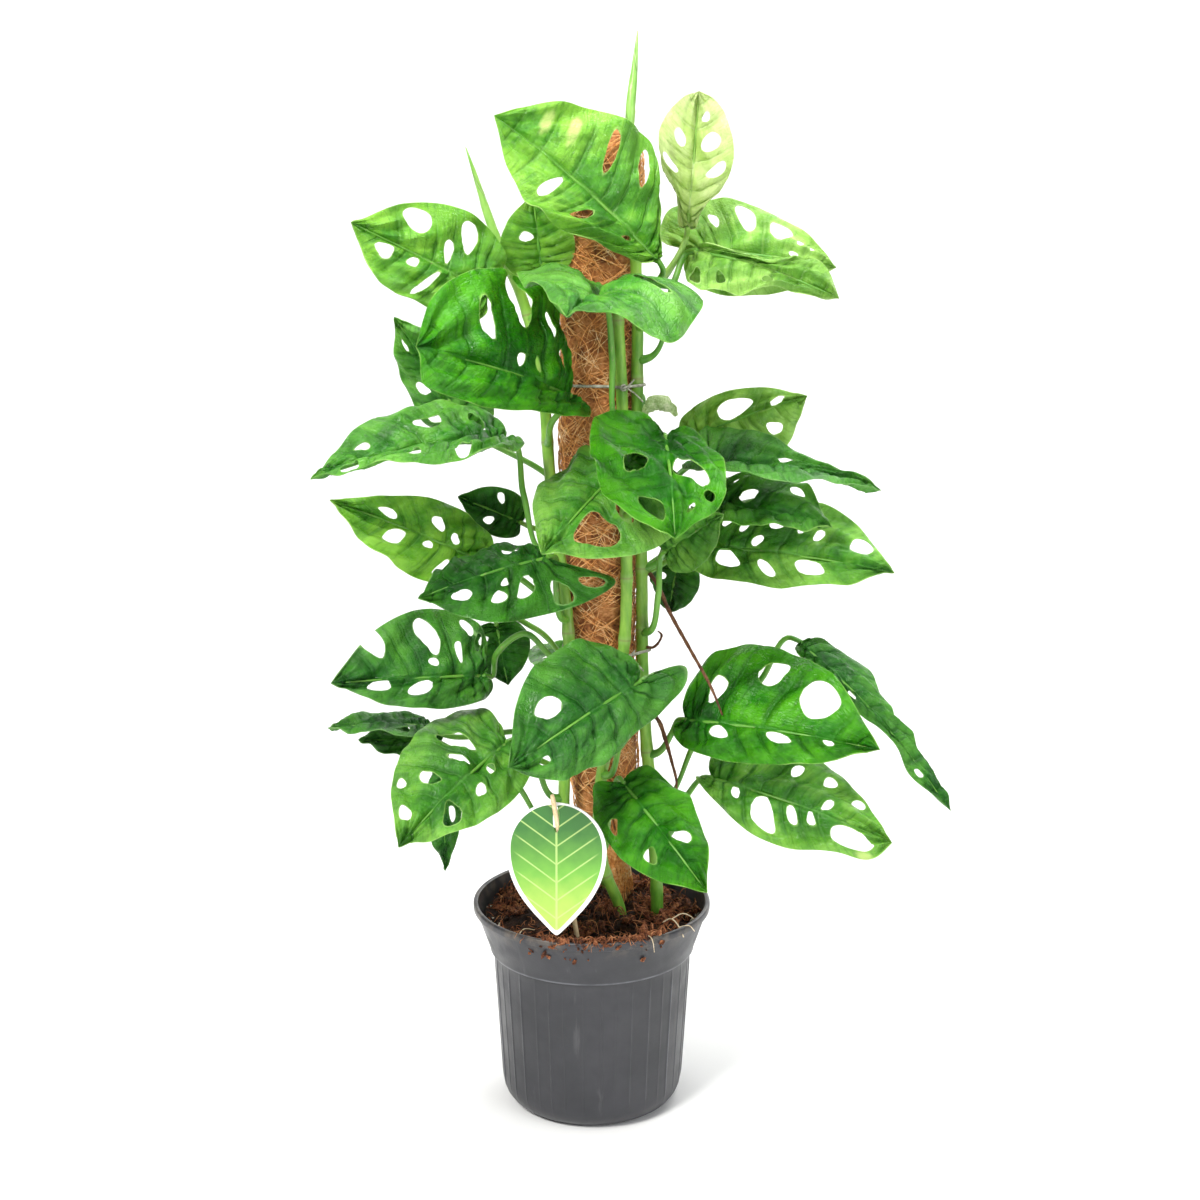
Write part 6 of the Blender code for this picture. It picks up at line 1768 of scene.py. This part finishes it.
def makeBackdrop():
    s = stageShape
    pickNothing()
    bpy.ops.mesh.primitive_plane_add(size=2, location=(0, (s["front"] + s["back"]) / 2, 0))
    piece = bpy.context.object
    piece.name = piece.data.name = "backdrop"
    piece.scale = (s["width"], (s["back"] - s["front"]) / 2, 1)
    bpy.ops.object.transform_apply(location=True, rotation=True, scale=True)
    mesh = piece.data
    bpy.context.tool_settings.mesh_select_mode = (False, True, False)
    mesh.vertices.foreach_set("select", np.zeros(4, bool))
    mesh.polygons.foreach_set("select", np.zeros(1, bool))
    for edge in mesh.edges:
        edge.select = all(mesh.vertices[i].co.y > s["back"] - 0.01 for i in edge.vertices)
    bpy.ops.object.mode_set(mode="EDIT")
    bpy.ops.mesh.extrude_region_move(TRANSFORM_OT_translate={"value": (0, 0, s["wall"])})
    bpy.ops.object.mode_set(mode="OBJECT")
    for edge in mesh.edges:
        ends = [mesh.vertices[i].co for i in edge.vertices]
        edge.select = all(e.y > s["back"] - 0.01 and e.z < 0.01 for e in ends)
    bpy.context.tool_settings.mesh_select_mode = (False, True, False)
    bpy.ops.object.mode_set(mode="EDIT")
    bpy.ops.mesh.bevel(offset=s["bend"], segments=24, profile=0.5)
    bpy.ops.object.mode_set(mode="OBJECT")
    shadeSoft(piece, 60)
    made, tree, shader = newMaterial("studioWhite", 0.55, 0.3)
    shade = noiseAt(tree, objectPlaces(tree), 1.5, 2.0)
    feed(tree, shader, Base_Color=mixed(tree, shade, rgb((0.86, 0.86, 0.86)), rgb((0.88, 0.88, 0.88))))
    dress(piece, made)


makeBackdrop()

world = bpy.data.worlds.new("studio")
bpy.context.scene.world = world
world.use_nodes = True
world.node_tree.nodes["Background"].inputs[0].default_value = (1.0, 1.0, 1.0, 1.0)
world.node_tree.nodes["Background"].inputs[1].default_value = 0.33

lights = {  # they aim at a height over the middle of the pot
    "keyLight": dict(at=(-0.95, -1.35, 1.75), to=0.45, size=0.6, power=52.0, colour=(1.0, 0.99, 0.96)),
    "fillLight": dict(at=(1.5, -1.6, 1.0), to=0.38, size=1.3, power=21.0, colour=(0.97, 0.98, 1.0)),
    "topLight": dict(at=(0.15, -0.1, 2.0), to=0.4, size=1.0, power=34.0, colour=(1.0, 1.0, 0.98)),
    "backLight": dict(at=(0.9, 1.5, 1.3), to=0.45, size=1.2, power=14.0, colour=(1.0, 1.0, 1.0)),
}
for name, s in lights.items():
    lamp = bpy.data.lights.new(name, "AREA")
    lamp.size = s["size"]
    lamp.energy = s["power"]
    lamp.color = s["colour"]
    light = bpy.data.objects.new(name, lamp)
    bpy.context.scene.collection.objects.link(light)
    light.location = s["at"]
    light.rotation_euler = (Vector((0, 0, s["to"])) - Vector(s["at"])).to_track_quat("-Z", "Y").to_euler()

cameraView = dict(at=(0.006, -1.4, 0.705), tilt=76.6, lens=62.1)
lens = bpy.data.cameras.new("camera")
lens.lens = cameraView["lens"]
lens.sensor_width = 36.0
camera = bpy.data.objects.new("camera", lens)
bpy.context.scene.collection.objects.link(camera)
camera.location = cameraView["at"]
camera.rotation_euler = (math.radians(cameraView["tilt"]), 0, 0)
bpy.context.scene.camera = camera
bpy.context.scene.view_settings.view_transform = "Standard"
